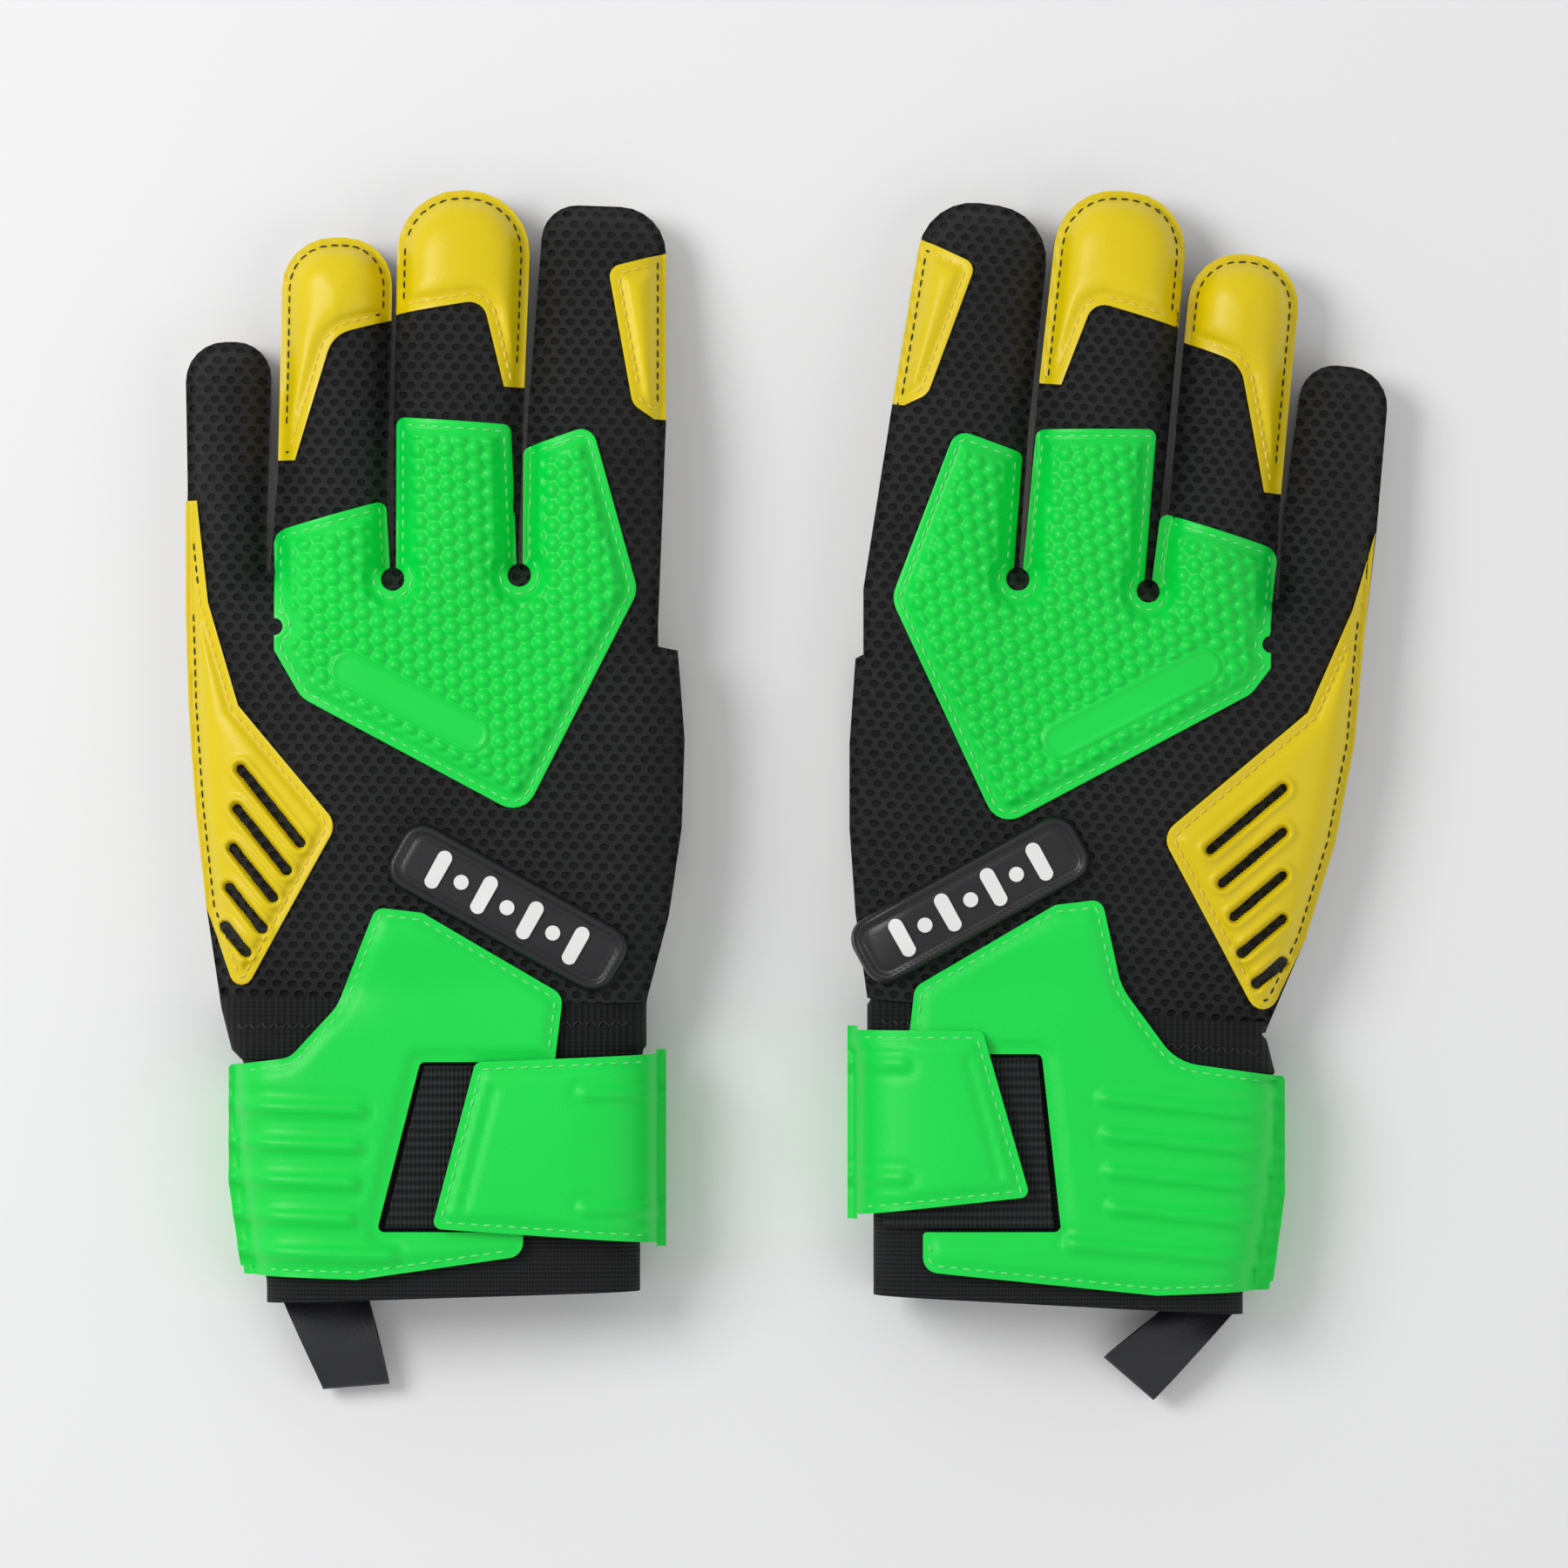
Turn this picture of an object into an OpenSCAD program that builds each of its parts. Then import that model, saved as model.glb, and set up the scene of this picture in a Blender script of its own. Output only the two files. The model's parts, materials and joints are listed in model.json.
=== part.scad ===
// A pair of goalkeeper gloves lying palm down, fingers towards +Y, thumbs folded under the palms.
// Each glove is a soft shell: a back, a latex palm and black gussets between them, with padded
// panels on the back, an elastic cuff, a wrist wrap with a strap, and a pull loop.

/* [Hand] */
// Height of the palm's outer face above the floor, which leaves room for the folded thumb
palm_z = 10.5; // [10:0.5:12]
// Thickness of the latex palm
palm_t = 4; // [3:0.5:5]
// Height of the hollow for the hand
hollow_h = 12; // [10:1:14]
// Thickness of the padded back
back_t = 4; // [3:0.5:5]
// Thickness of the gusset walls
wall_t = 2; // [1.5:0.5:2.5]
// Gap between pieces that turn against each other
joint_gap = 0.3; // [0.2:0.1:0.5]

/* [Panels] */
// Thickness of the punch panel, side panel and badge
panel_t = 3; // [2:0.5:4]
// Thickness of the fingertip caps
cap_t = 2; // [1.5:0.5:3]
// Radius of the round relief holes in the punch panel
relief_r = 3; // [2:0.5:4]
// Half width of the slots in the side panel
slot_r = 1.3; // [1:0.1:1.8]

/* [Fingers] */
// Angle by which each fingertip droops to the floor
droop = 9; // [6:1:9]

/* [Thumb] */
// Thickness of the folded thumb
thumb_h = 10; // [8:0.5:10]
// Thickness of the thumb's back
thumb_back_t = 2.2; // [1.5:0.1:2.5]
// Thickness of the thumb's latex
thumb_palm_t = 2.5; // [2:0.5:3]

/* [Cuff and strap] */
// Height of the cuff's lower face
cuff_z = 1.5; // [1:0.5:3]
// Wall of the elastic cuff
cuff_t = 2.5; // [2:0.5:3]
// Height of the wrist band's lower face
band_z = 6; // [4:1:8]
// Thickness of the wrist wrap's side walls
wrap_t = 2.5; // [2:0.5:3]
// Thickness of the loop patch
patch_t = 1.5; // [1:0.5:2]
// Thickness of the strap
strap_t = 3; // [2:0.5:4]
// Height of the strap's fold line on the thumb side
strap_fold_z = 16; // [12:1:20]

/* [Pull loop] */
// Thickness of the loop's band
loop_t = 1.5; // [1:0.5:2]
// Height of the open loop
loop_h = 9; // [8:0.5:10]

/* [Hidden] */
SIDES = ["left", "right"];
PIECES = [
    "hand_back", "hand_palm", "hand_gusset", "punch_panel", "side_panel", "badge", "wrist_band", "cuff",
    "cuff_wrap", "loop_patch", "knuckle_back", "knuckle_palm", "punch_lobes", "side_strip", "index_back",
    "index_palm", "middle_back", "middle_palm", "ring_back", "ring_palm", "pinky_back", "pinky_palm",
    "index_patch", "middle_cap", "ring_cap", "thumb_back", "thumb_palm", "strap", "hook_patch", "pull_loop",
];
NODES = [for (side = SIDES, piece = PIECES) str(side, "_", piece)];
node = "all";

LEFT = 0;
INDEX = 0;
MIDDLE = 1;
RING = 2;
PINKY = 3;

// Heights shared by every piece
hollow_z = palm_z + palm_t;
back_z = hollow_z + hollow_h;
top_z = back_z + back_t;
panel_z = top_z + panel_t;
hook_z = panel_z + joint_gap;
strap_z = hook_z + 1.2;
far = 200;
arc_steps = 6;
shift = [0.3, -0.9];

// +X points from the pinky side to the thumb side on the left glove, and the other way on the right
inward = [1, -1];

// How far each glove leans clockwise, and a point on its knuckle line
lean = [2, 6];
knuckle_at = [[-93, 45], [82, 45]];
function knuckle_y(side, x) = knuckle_at[side].y - tan(lean[side]) * (x - knuckle_at[side].x);

// Fingers past their crease: the crease's middle, width there and at the tip, length, lean clockwise
// and the radii of the tip's two corners
fingers = [
    [
        [[-48.5, 94], 35, 31, 55, 2, 9, 12],
        [[-83.5, 99], 33, 34, 54, 1.5, 16, 16],
        [[-115.5, 79], 28, 28, 62, 1, 13, 12],
        [[-142.25, 77.5], 20.5, 22, 37, 0, 10, 9],
    ],
    [
        [[43.5, 95], 35, 32, 55, 8, 14, 14],
        [[80, 98], 34, 33, 55, 6, 15, 15],
        [[110.5, 72], 28, 28, 65, 5.5, 13, 13],
        [[137.5, 68.5], 24, 22, 40, 6.5, 9, 10],
    ],
];
// The ends of the slots between the fingers, in order of x
web_at = [[[-132, 56], [-100.5, 58], [-68, 58]], [[59, 57], [93, 53], [124, 49]]];
web_half = 0.6;
web_depth = 9;

// The hand's two edges are shallow bows; the thumb side steps in below the index finger
pinky_top_x = [-153, 146];
pinky_foot = [[-144, -54], [121, -61]];
pinky_bow = [2, 5.5];
index_root_x = [-33, 19];
thumb_web = [[-28, 36], [17, 34]];
thumb_foot = [[-36, -53], [20, -52]];
thumb_bow = [5, 3];
function bow(a, b, depth) =
    let (along = b - a, out = [-along.y, along.x] / norm(along))
    [for (i = [0:4]) let (t = i / 4) a + t * along + 4 * depth * t * (1 - t) * out];
function top_of(side, x) = [x, knuckle_y(side, x)];
pinky_edge = [for (side = [0, 1])
    bow(top_of(side, pinky_top_x[side]), pinky_foot[side], -inward[side] * pinky_bow[side])];
thumb_edge = [for (side = [0, 1])
    concat([top_of(side, index_root_x[side]), [index_root_x[side], thumb_web[side].y + 1]],
           bow(thumb_web[side], thumb_foot[side], inward[side] * thumb_bow[side]))];

// A point with a corner radius
function cornered(p, r) = [p.x, p.y, r];

// The punch panel: two slits, each ending in a relief hole, part its lobes, and a notch marks the
// pinky's web. Each lobe's height is measured up a slit from its relief hole.
relief_at = [[[-100, 54], [-68, 55]], [[58, 54], [91, 51]]];
slit_half = 0.7;
slit_lean = [-1, 5];
lobe_gap = 1.5;
ring_lobe = 20;
middle_lobe = [41, 38];
index_lobe = 32;
index_lobe_width = 19;
notch_at = [[-130, 42], [122, 37.5]];
notch_r = 2.2;
ring_lobe_edge = 24;
panel_point = [[-67, -6], [53, -9]];
panel_thumb_corner = [[-38, 51], [26, 49]];
panel_pinky_corner = [[-123, 24], [117, 25]];
punch_outline = [for (side = [0, 1])
    let (up = [sin(slit_lean[side]), cos(slit_lean[side])], in = [inward[side], 0], notch = notch_at[side],
         outer = relief_at[side][side], inner = relief_at[side][1 - side])
    [notch + [0, 5], cornered(notch + ring_lobe_edge * up, 4),
     cornered(outer - lobe_gap * in + ring_lobe * up, 2), outer - slit_half * in, outer + slit_half * in,
     cornered(outer + lobe_gap * in + middle_lobe[0] * up, 2),
     cornered(inner - lobe_gap * in + middle_lobe[1] * up, 2), inner - slit_half * in, inner + slit_half * in,
     cornered(inner + lobe_gap * in + index_lobe * up, 2),
     cornered(inner + index_lobe_width * in + (index_lobe + 6) * up, 4),
     cornered(panel_thumb_corner[side], 7), cornered(panel_point[side], 6),
     cornered(panel_pinky_corner[side], 7), notch - [0, 6]]];

// The side panel follows the pinky edge. Its inner edge is given by rows of height above the knuckle
// line, width and corner radius. Its five slots get shorter towards the wrist.
side_tip = [[-153, 74], [149, 66]];
side_rows = [
    [[27, 3, 0], [1, 6, 0], [-25, 13, 0], [-55, 36, 5], [-100, 5, 3]],
    [[8, 3, 0], [-18, 13, 0], [-49, 45, 5], [-98, 1, 4]],
];
function pinky_x(side, y) = lookup(y, [for (i = [4:-1:0]) [pinky_edge[side][i].y, pinky_edge[side][i].x]]);
side_inner = [for (side = [0, 1]) concat([side_tip[side]], [for (row = side_rows[side])
    let (y = pinky_edge[side][0].y + row[0], x = pinky_x(side, y) + inward[side] * row[1])
    row[2] > 0 ? [x, y, row[2]] : [x, y]])];
slot_start = [[-138.5, 6], [125, 1]];
slot_step = [[-1, -10], [0, -11]];
slot_angle = [-51, 220];
slot_length = [24, 20, 16, 13, 8];

// The badge is a rounded bar across the wrist
badge_at = [[-71, -29], [46, -27]];
badge_angle = [-29, 29];
badge_size = [64, 18];
badge_r = 6;

// Caps and patches, the same on both gloves and cut to their fingers' outlines: distance from the
// finger's middle towards the thumb, distance past its crease, corner radius
middle_cap = [[-21, 21], [5.5, 26, 4.5], [11.5, 4], [21, 4], [21, 58], [-21, 58]];
ring_cap = [[-19, 5], [-9.5, 5], [-0.5, 37, 8], [17, 42], [17, 70], [-19, 70]];
index_patch = [[20, 45], [1.5, 39, 3], [9, 4.5, 4.5], [14.5, 1], [21, 1]];
function on_finger(side, finger, points) =
    let (f = fingers[side][finger], across = inward[side] * [cos(f[4]), -sin(f[4])],
         along = [sin(f[4]), cos(f[4])])
    [for (p = points) let (q = f[0] + p.x * across + p.y * along) len(p) > 2 ? cornered(q, p[2]) : q];
middle_cap_outline = [for (side = [0, 1]) on_finger(side, MIDDLE, middle_cap)];
ring_cap_outline = [for (side = [0, 1]) on_finger(side, RING, ring_cap)];
index_patch_outline = [for (side = [0, 1]) on_finger(side, INDEX, index_patch)];

// Wrist band and cuff, as edges from the hand down to the mouth
seam_gap = [0, -0.2];
wrist_y = [[-66, -65], [-73, -65]];
cuff_top_x = [[-139, -37], [122, 21]];
cuff_foot = [[-132, -129], [114, -132]];
cuff_thumb_foot = [[-37, -126], [21, -127]];
cuff_bow = [1.5, 2];
mouth_dip = [1, -1];
band_pinky_edge = [for (side = [0, 1])
    [pinky_foot[side] + seam_gap, [cuff_top_x[side][0] - 2 * inward[side], wrist_y[side][0]]]];
band_thumb_edge = [for (side = [0, 1])
    [thumb_foot[side] + seam_gap, [thumb_foot[side].x, wrist_y[side][1]]]];
cuff_pinky_edge = [for (side = [0, 1])
    bow([cuff_top_x[side][0], wrist_y[side][0]] + seam_gap, cuff_foot[side], -inward[side] * cuff_bow[side])];
cuff_thumb_edge = [for (side = [0, 1])
    [[cuff_top_x[side][1], wrist_y[side][1]] + seam_gap, cuff_thumb_foot[side]]];
cuff_mouth = [for (side = [0, 1])
    [for (t = [0.2, 0.7]) cuff_foot[side] * (1 - t) + cuff_thumb_foot[side] * t - [0, mouth_dip[side]]]];

// The wrist wrap on the back of the cuff. Its flap runs along the badge, and its window's corners are
// measured in and down from its top corner on the pinky side.
wrap_top = [[-142, -69], [126, -72]];
wrap_height = [53, 54];
wrap_shoulder = [[16, 2, 6], [28, 4, 13]];
wrap_neck = [[28, 15, 13], [42, 23, 17]];
flap = [[-29, -16, 3], [-18, -11.5, 4], [23, -12.5, 4]];
window_x = [[49, 38], [62, 57]];
window_y = [[1, -42], [6, -39]];
wrap_end_x = [[83, 75], [96, 92]];
function from_wrap(side, x, y) = wrap_top[side] + [inward[side] * x, y];
function on_badge(side, p) =
    let (a = badge_angle[side], along = inward[side] * [cos(a), sin(a)],
         q = badge_at[side] + p.x * along + p.y * [-sin(a), cos(a)])
    cornered(q, p[2]);
wrap_outline = [for (side = [0, 1])
    let (shoulder = wrap_shoulder[side], neck = wrap_neck[side], wx = window_x[side], wy = window_y[side],
         ends = wrap_end_x[side], foot = -wrap_height[side])
    concat([cornered(from_wrap(side, 0, 0), 1),
            cornered(from_wrap(side, shoulder.x, shoulder.y), shoulder.z),
            cornered(from_wrap(side, neck.x, neck.y), neck.z)],
           [for (p = flap) on_badge(side, p)],
           [from_wrap(side, ends[0], wy[0]), cornered(from_wrap(side, wx[0], wy[0]), 1.5),
            cornered(from_wrap(side, wx[1], wy[1]), 1.5), cornered(from_wrap(side, ends[1], wy[1]), 1),
            cornered(from_wrap(side, ends[1], foot + 5), 4), from_wrap(side, 33, foot - 1),
            from_wrap(side, 4, foot), from_wrap(side, 0, foot / 2)])];
wrap_pinky_edge = [for (side = [0, 1])
    [from_wrap(side, 0, -1.5), from_wrap(side, 0, -30), from_wrap(side, 3, 2 - wrap_height[side])]];
wrap_thumb_x = [for (side = [0, 1]) cuff_top_x[side][1] + 3 * inward[side]];
wrap_thumb_y = [[-69, -112], [-67, -106]];
wrap_thumb_edge = [for (side = [0, 1]) [for (y = wrap_thumb_y[side]) [wrap_thumb_x[side], y]]];
// The patch fills the window as far as the strap's fold
patch_end_x = [for (side = [0, 1]) wrap_thumb_x[side] - 6 * inward[side]];
patch_outline = [for (side = [0, 1])
    let (a = from_wrap(side, window_x[side][0] + 1, window_y[side][0] - 1),
         b = from_wrap(side, window_x[side][1] + 2, window_y[side][1] + 1))
    [a, [patch_end_x[side], a.y], [patch_end_x[side], b.y], b]];
// The strap over it: its fixed edge, and how far its free end reaches at the top and at the foot
strap_x = [for (side = [0, 1]) wrap_thumb_x[side] + 3 * inward[side]];
strap_fixed_y = [[-66, -114], [-60, -107]];
strap_reach = [[48, 59], [34, 46]];
strap_free_y = [[-68, -110], [-60, -102]];
strap_outline = [for (side = [0, 1])
    let (x = strap_x[side], reach = inward[side] * strap_reach[side])
    [[x - reach[0], strap_free_y[side][0], 2], [x, strap_fixed_y[side][0]], [x, strap_fixed_y[side][1]],
     [x - reach[1], strap_free_y[side][1], 2]]];
strap_wall = [for (side = [0, 1]) [for (i = [0, 1]) [strap_x[side], strap_fixed_y[side][i] + 1 - 2 * i]]];
// The hook tape keeps this far inside the strap's free end
hook_inset = 3;
hook_width = [26, 20];
hook_outline = [for (side = [0, 1])
    let (s = inward[side], x = (strap_x[side] + s * hook_inset) * [1, 1] - s * strap_reach[side],
         y0 = strap_free_y[side][0] - hook_inset, y1 = strap_free_y[side][1] + hook_inset - 1)
    [[x[0], y0, 1], [x[0] + s * hook_width[side], y0, 1],
     [x[1] + s * (hook_width[side] + 4), y1, 1], [x[1], y1, 1]]];

// The left thumb folded under the palm; the right one is its mirror image
thumb_outline = [
    [-28, 33], [-28, -19], [-45, -21, 8], [-83, 2, 13], [-92, 18, 10], [-80, 31, 12], [-54, 24, 9],
];
thumb_mirror_x = -5.5;

// The pull loop's plan, its root line and the length of its band
loop_plan = [
    [[-130, -132], [-128, -134], [-118, -152, 1], [-101, -150, 1], [-107, -137], [-107, -132]],
    [[115, -135], [98, -135], [80, -143, 1], [96, -156, 1], [112, -139]],
];
loop_root_y = [-133, -136];
loop_length = 18;
loop_z = 5.2;
loop_root_h = 3.4;

function unit(v) = v / norm(v);
function turn(a) = a > 180 ? a - 360 : a < -180 ? a + 360 : a;
// The arc that rounds corner b, between neighbours a and c
function arc(a, b, c, r) =
    let (u = unit(a - b), w = unit(c - b), half = acos(u * w) / 2, hub = b + unit(u + w) * r / sin(half),
         from = b + u * r / tan(half) - hub, to = b + w * r / tan(half) - hub,
         start = atan2(from.y, from.x), sweep = turn(atan2(to.y, to.x) - start))
    [for (i = [0:arc_steps]) let (along = start + sweep * i / arc_steps) hub + r * [cos(along), sin(along)]];
function flat(p) = [p.x, p.y];
// An outline whose points may carry a corner radius
function rounded(points) =
    let (n = len(points))
    [for (i = [0:n - 1])
        let (p = points[i], before = points[(i + n - 1) % n], after = points[(i + 1) % n])
        each len(p) > 2 ? arc(flat(before), flat(p), flat(after), p[2]) : [flat(p)]];
function back(points) = [for (i = [len(points) - 1:-1:0]) points[i]];
function moved(points, step) = [for (p = points) flat(p) + step];
// A strip of wall along an edge
function strip(edge, thickness) = concat(edge, back(moved(edge, [thickness, 0])));
// The space between two edges, drawn in from both and run past both ends
function channel(pinky, thumb, inset, past) =
    let (a = moved(pinky, [inset, 0]), b = moved(thumb, [-inset, 0]), n = len(a) - 1, m = len(b) - 1)
    concat([a[0] + [0, past]], a, [a[n] - [0, past], b[m] - [0, past]], back(b), [b[0] + [0, past]]);

module plate(points, z0, z1) {
    translate([0, 0, z0]) linear_extrude(z1 - z0) polygon(points);
}

// Everything past the knuckle line, and everything before it
module past_knuckles(side) {
    translate([knuckle_at[side].x, knuckle_at[side].y, -far / 2]) rotate(-lean[side])
        translate([-far, joint_gap / 2, 0]) cube([2 * far, far, far]);
}
module before_knuckles(side) {
    translate([knuckle_at[side].x, knuckle_at[side].y, -far / 2]) rotate(-lean[side])
        translate([-far, -far - joint_gap / 2, 0]) cube([2 * far, far, far]);
}

function hand_outline(side) = concat(pinky_edge[side], back(thumb_edge[side]));

module hand_back(side) {
    color("#1b1c1e") intersection() {
        plate(hand_outline(side), back_z, top_z);
        before_knuckles(side);
    }
}

module hand_palm(side) {
    color("#e9e6dc") intersection() {
        difference() {
            plate(hand_outline(side), palm_z, hollow_z);
            plate(strip(pinky_edge[side], inward[side] * wall_t), 0, top_z);
        }
        before_knuckles(side);
    }
}

module hand_gusset(side) {
    color("#202124") intersection() {
        union() {
            plate(strip(pinky_edge[side], inward[side] * wall_t), 0, back_z);
            plate(strip(thumb_edge[side], -inward[side] * wall_t), hollow_z, back_z);
        }
        before_knuckles(side);
    }
}

module punch_slab(side) {
    difference() {
        plate(rounded(punch_outline[side]), top_z, panel_z);
        for (p = relief_at[side])
            translate([p.x, p.y, top_z - 1]) cylinder(h = panel_t + 2, r = relief_r, $fn = 48);
        translate([notch_at[side].x, notch_at[side].y, top_z - 1])
            cylinder(h = panel_t + 2, r = notch_r, $fn = 24);
    }
}

module punch_panel(side) {
    color("#00d850") intersection() {
        punch_slab(side);
        before_knuckles(side);
    }
}

module punch_lobes(side) {
    color("#00d850") intersection() {
        punch_slab(side);
        past_knuckles(side);
    }
}

function side_outline(side) = concat(side_inner[side], back([for (i = [0:3]) pinky_edge[side][i]]));
// One slot with half-round ends
function slot_outline(side, i) =
    let (a = slot_start[side] + i * slot_step[side], along = slot_angle[side],
         b = a + slot_length[i] * [cos(along), sin(along)])
    concat([for (k = [0:6]) b + slot_r * [cos(along - 90 + 30 * k), sin(along - 90 + 30 * k)]],
           [for (k = [0:6]) a + slot_r * [cos(along + 90 + 30 * k), sin(along + 90 + 30 * k)]]);

module side_panel(side) {
    color("#e6c800") difference() {
        intersection() {
            plate(rounded(side_outline(side)), top_z, panel_z);
            before_knuckles(side);
        }
        for (i = [0:4]) plate(slot_outline(side, i), top_z - 1, panel_z + 1);
    }
}

module side_strip(side) {
    color("#e6c800") intersection() {
        plate(rounded(side_outline(side)), top_z, panel_z);
        past_knuckles(side);
    }
}

module badge(side) {
    half = badge_size / 2;
    bar = [[-half.x, -half.y, badge_r], [-half.x, half.y, badge_r],
           [half.x, half.y, badge_r], [half.x, -half.y, badge_r]];
    color("#161618") translate([badge_at[side].x, badge_at[side].y, 0]) rotate(badge_angle[side])
        plate(rounded(bar), top_z, panel_z);
}

// A flat tube between two edges, open at both ends
module tube(pinky, thumb, mouth, side, z0, z1) {
    difference() {
        plate(concat(pinky, mouth, back(thumb)), z0, z1);
        plate(channel(pinky, thumb, inward[side] * cuff_t, 12), z0 + cuff_t, z1 - cuff_t);
    }
}

module wrist_band(side) {
    color("#151517") tube(band_pinky_edge[side], band_thumb_edge[side], [], side, band_z, top_z);
}

module cuff(side) {
    color("#1d1e20")
        tube(cuff_pinky_edge[side], cuff_thumb_edge[side], cuff_mouth[side], side, cuff_z, top_z);
}

module cuff_wrap(side) {
    color("#00d850") {
        plate(rounded(wrap_outline[side]), top_z, panel_z);
        plate(strip(wrap_pinky_edge[side], inward[side] * wrap_t), 0, panel_z);
        plate(strip(wrap_thumb_edge[side], inward[side] * wrap_t), 0, strap_fold_z - joint_gap);
        plate(concat(wrap_pinky_edge[side], back(wrap_thumb_edge[side])), 0, cuff_z);
    }
}

module loop_patch(side) {
    color("#131315") plate(patch_outline[side], top_z, top_z + patch_t);
}

// A finger past its crease, from the crease's low-x end round the tip, drawn in by a margin
function finger_outline(side, finger, margin = 0) =
    let (f = fingers[side][finger], across = [cos(f[4]), -sin(f[4])], along = [sin(f[4]), cos(f[4])],
         root = f[0] - margin * along, tip = f[0] + (f[3] - margin) * along,
         low = tip - (f[2] / 2 - margin) * across, high = tip + (f[2] / 2 - margin) * across)
    [root - (f[1] / 2 - margin) * across, [low.x, low.y, f[5] - margin], [high.x, high.y, f[6] - margin],
     root + (f[1] / 2 - margin) * across];
// Fingers up to their creases, joined above the knuckle line
function crease(side, finger) = let (points = finger_outline(side, finger)) [points[0], points[3]];
function in_x_order(side) = side == LEFT ? [PINKY, RING, MIDDLE, INDEX] : [INDEX, MIDDLE, RING, PINKY];
function knuckle_outline(side) =
    let (order = in_x_order(side), x0 = min(pinky_edge[side][0].x, thumb_edge[side][0].x),
         x1 = max(pinky_edge[side][0].x, thumb_edge[side][0].x))
    concat(
        [[x0, knuckle_y(side, x0)]],
        [for (i = [0:3]) each concat(
            moved(crease(side, order[i]), [0, -joint_gap]),
            i < 3 ? [web_at[side][i] - [web_half, 0], web_at[side][i] + [web_half, 0]] : [])],
        [[x1, knuckle_y(side, x1)]]
    );
// The hollow of one finger below its crease, as a strip that narrows by the wall at each side
function finger_bore(side, finger) =
    let (ends = crease(side, finger), order = in_x_order(side), i = search(finger, order)[0],
         x0 = i == 0 ? min(pinky_edge[side][0].x, thumb_edge[side][0].x) : web_at[side][i - 1].x,
         x1 = i == 3 ? max(pinky_edge[side][0].x, thumb_edge[side][0].x) : web_at[side][i].x)
    [flat(ends[0]) + [wall_t, 1], flat(ends[1]) + [-wall_t, 1],
     [x1 - wall_t - web_half, knuckle_y(side, x1) - 2], [x0 + wall_t + web_half, knuckle_y(side, x0) - 2]];

module knuckle_back(side) {
    color("#1b1c1e") intersection() {
        plate(knuckle_outline(side), back_z, top_z);
        past_knuckles(side);
    }
}

module knuckle_palm(side) {
    x0 = min(pinky_edge[side][0].x, thumb_edge[side][0].x) + wall_t;
    x1 = max(pinky_edge[side][0].x, thumb_edge[side][0].x) - wall_t;
    reach = web_depth - wall_t;
    color("#e9e6dc") intersection() {
        difference() {
            plate(knuckle_outline(side), palm_z, back_z);
            for (finger = [INDEX:PINKY]) plate(finger_bore(side, finger), hollow_z, top_z);
            plate([[x0, knuckle_y(side, x0) - 2], [x1, knuckle_y(side, x1) - 2],
                   [x1, knuckle_y(side, x1) + reach], [x0, knuckle_y(side, x0) + reach]], hollow_z, top_z);
        }
        past_knuckles(side);
    }
}

// Turns a finger about its crease, at the palm's outer face, so that its tip droops
module drooped(side, finger) {
    ends = crease(side, finger);
    lean = atan2(ends[1].y - ends[0].y, ends[1].x - ends[0].x);
    translate([ends[0].x, ends[0].y, palm_z]) rotate(lean) rotate([-droop, 0, 0]) rotate(-lean)
        translate([-ends[0].x, -ends[0].y, -palm_z]) children();
}

module finger_back(side, finger) {
    color("#1b1c1e") drooped(side, finger) plate(rounded(finger_outline(side, finger)), back_z, top_z);
}

// A latex trough: the finger's front and its gusset walls
module finger_palm(side, finger) {
    color("#e9e6dc") drooped(side, finger) difference() {
        plate(rounded(finger_outline(side, finger)), palm_z, back_z);
        plate(rounded(finger_outline(side, finger, wall_t)), hollow_z, top_z);
    }
}

module finger_cap(side, finger, outline) {
    color("#e6c800") drooped(side, finger) intersection() {
        plate(rounded(outline[side]), top_z, top_z + cap_t);
        plate(rounded(finger_outline(side, finger)), back_z, panel_z);
    }
}

module thumb_placed(side) {
    if (side == LEFT) children();
    else translate([2 * thumb_mirror_x, 0, 0]) mirror([1, 0, 0]) children();
}

module thumb_back(side) {
    color("#1b1c1e") thumb_placed(side) plate(rounded(thumb_outline), 0, thumb_back_t);
}

module thumb_palm(side) {
    inner = [for (p = rounded(thumb_outline)) p + [2, p.y > 12 ? -wall_t : wall_t]];
    color("#e9e6dc") thumb_placed(side) difference() {
        plate(rounded(thumb_outline), thumb_back_t, thumb_h);
        plate(inner, 0, thumb_h - thumb_palm_t);
    }
}

module strap(side) {
    color("#00d850") {
        plate(rounded(strap_outline[side]), strap_z, strap_z + strap_t);
        plate(strip(strap_wall[side], -inward[side] * wrap_t), strap_fold_z, strap_z + strap_t);
    }
}

module hook_patch(side) {
    color("#131315") plate(rounded(hook_outline[side]), hook_z, strap_z);
}

// A band folded into a loop: its profile cut to its plan
module pull_loop(side) {
    y = loop_root_y[side];
    profile = [[y, loop_root_h / 2], [y - 8, loop_h / 2, 6], [y - loop_length, loop_h / 2, 3.5],
               [y - loop_length, -loop_h / 2, 3.5], [y - 8, -loop_h / 2, 6], [y, -loop_root_h / 2]];
    end = y + loop_t - loop_length;
    half = loop_h / 2 - loop_t;
    hole = [[y - 4, 0, 0.4], [y - 9, half, 3], [end, half, 2], [end, -half, 2], [y - 9, -half, 3]];
    color("#17181c") intersection() {
        translate([-far, 0, loop_z]) rotate([90, 0, 90]) difference() {
            linear_extrude(2 * far) polygon(rounded(profile));
            translate([0, 0, -1]) linear_extrude(2 * far + 2) polygon(rounded(hole));
        }
        plate(rounded(loop_plan[side]), 0, top_z);
    }
}

function wanted(side, piece) = node == "all" || node == str(SIDES[side], "_", piece);

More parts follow.
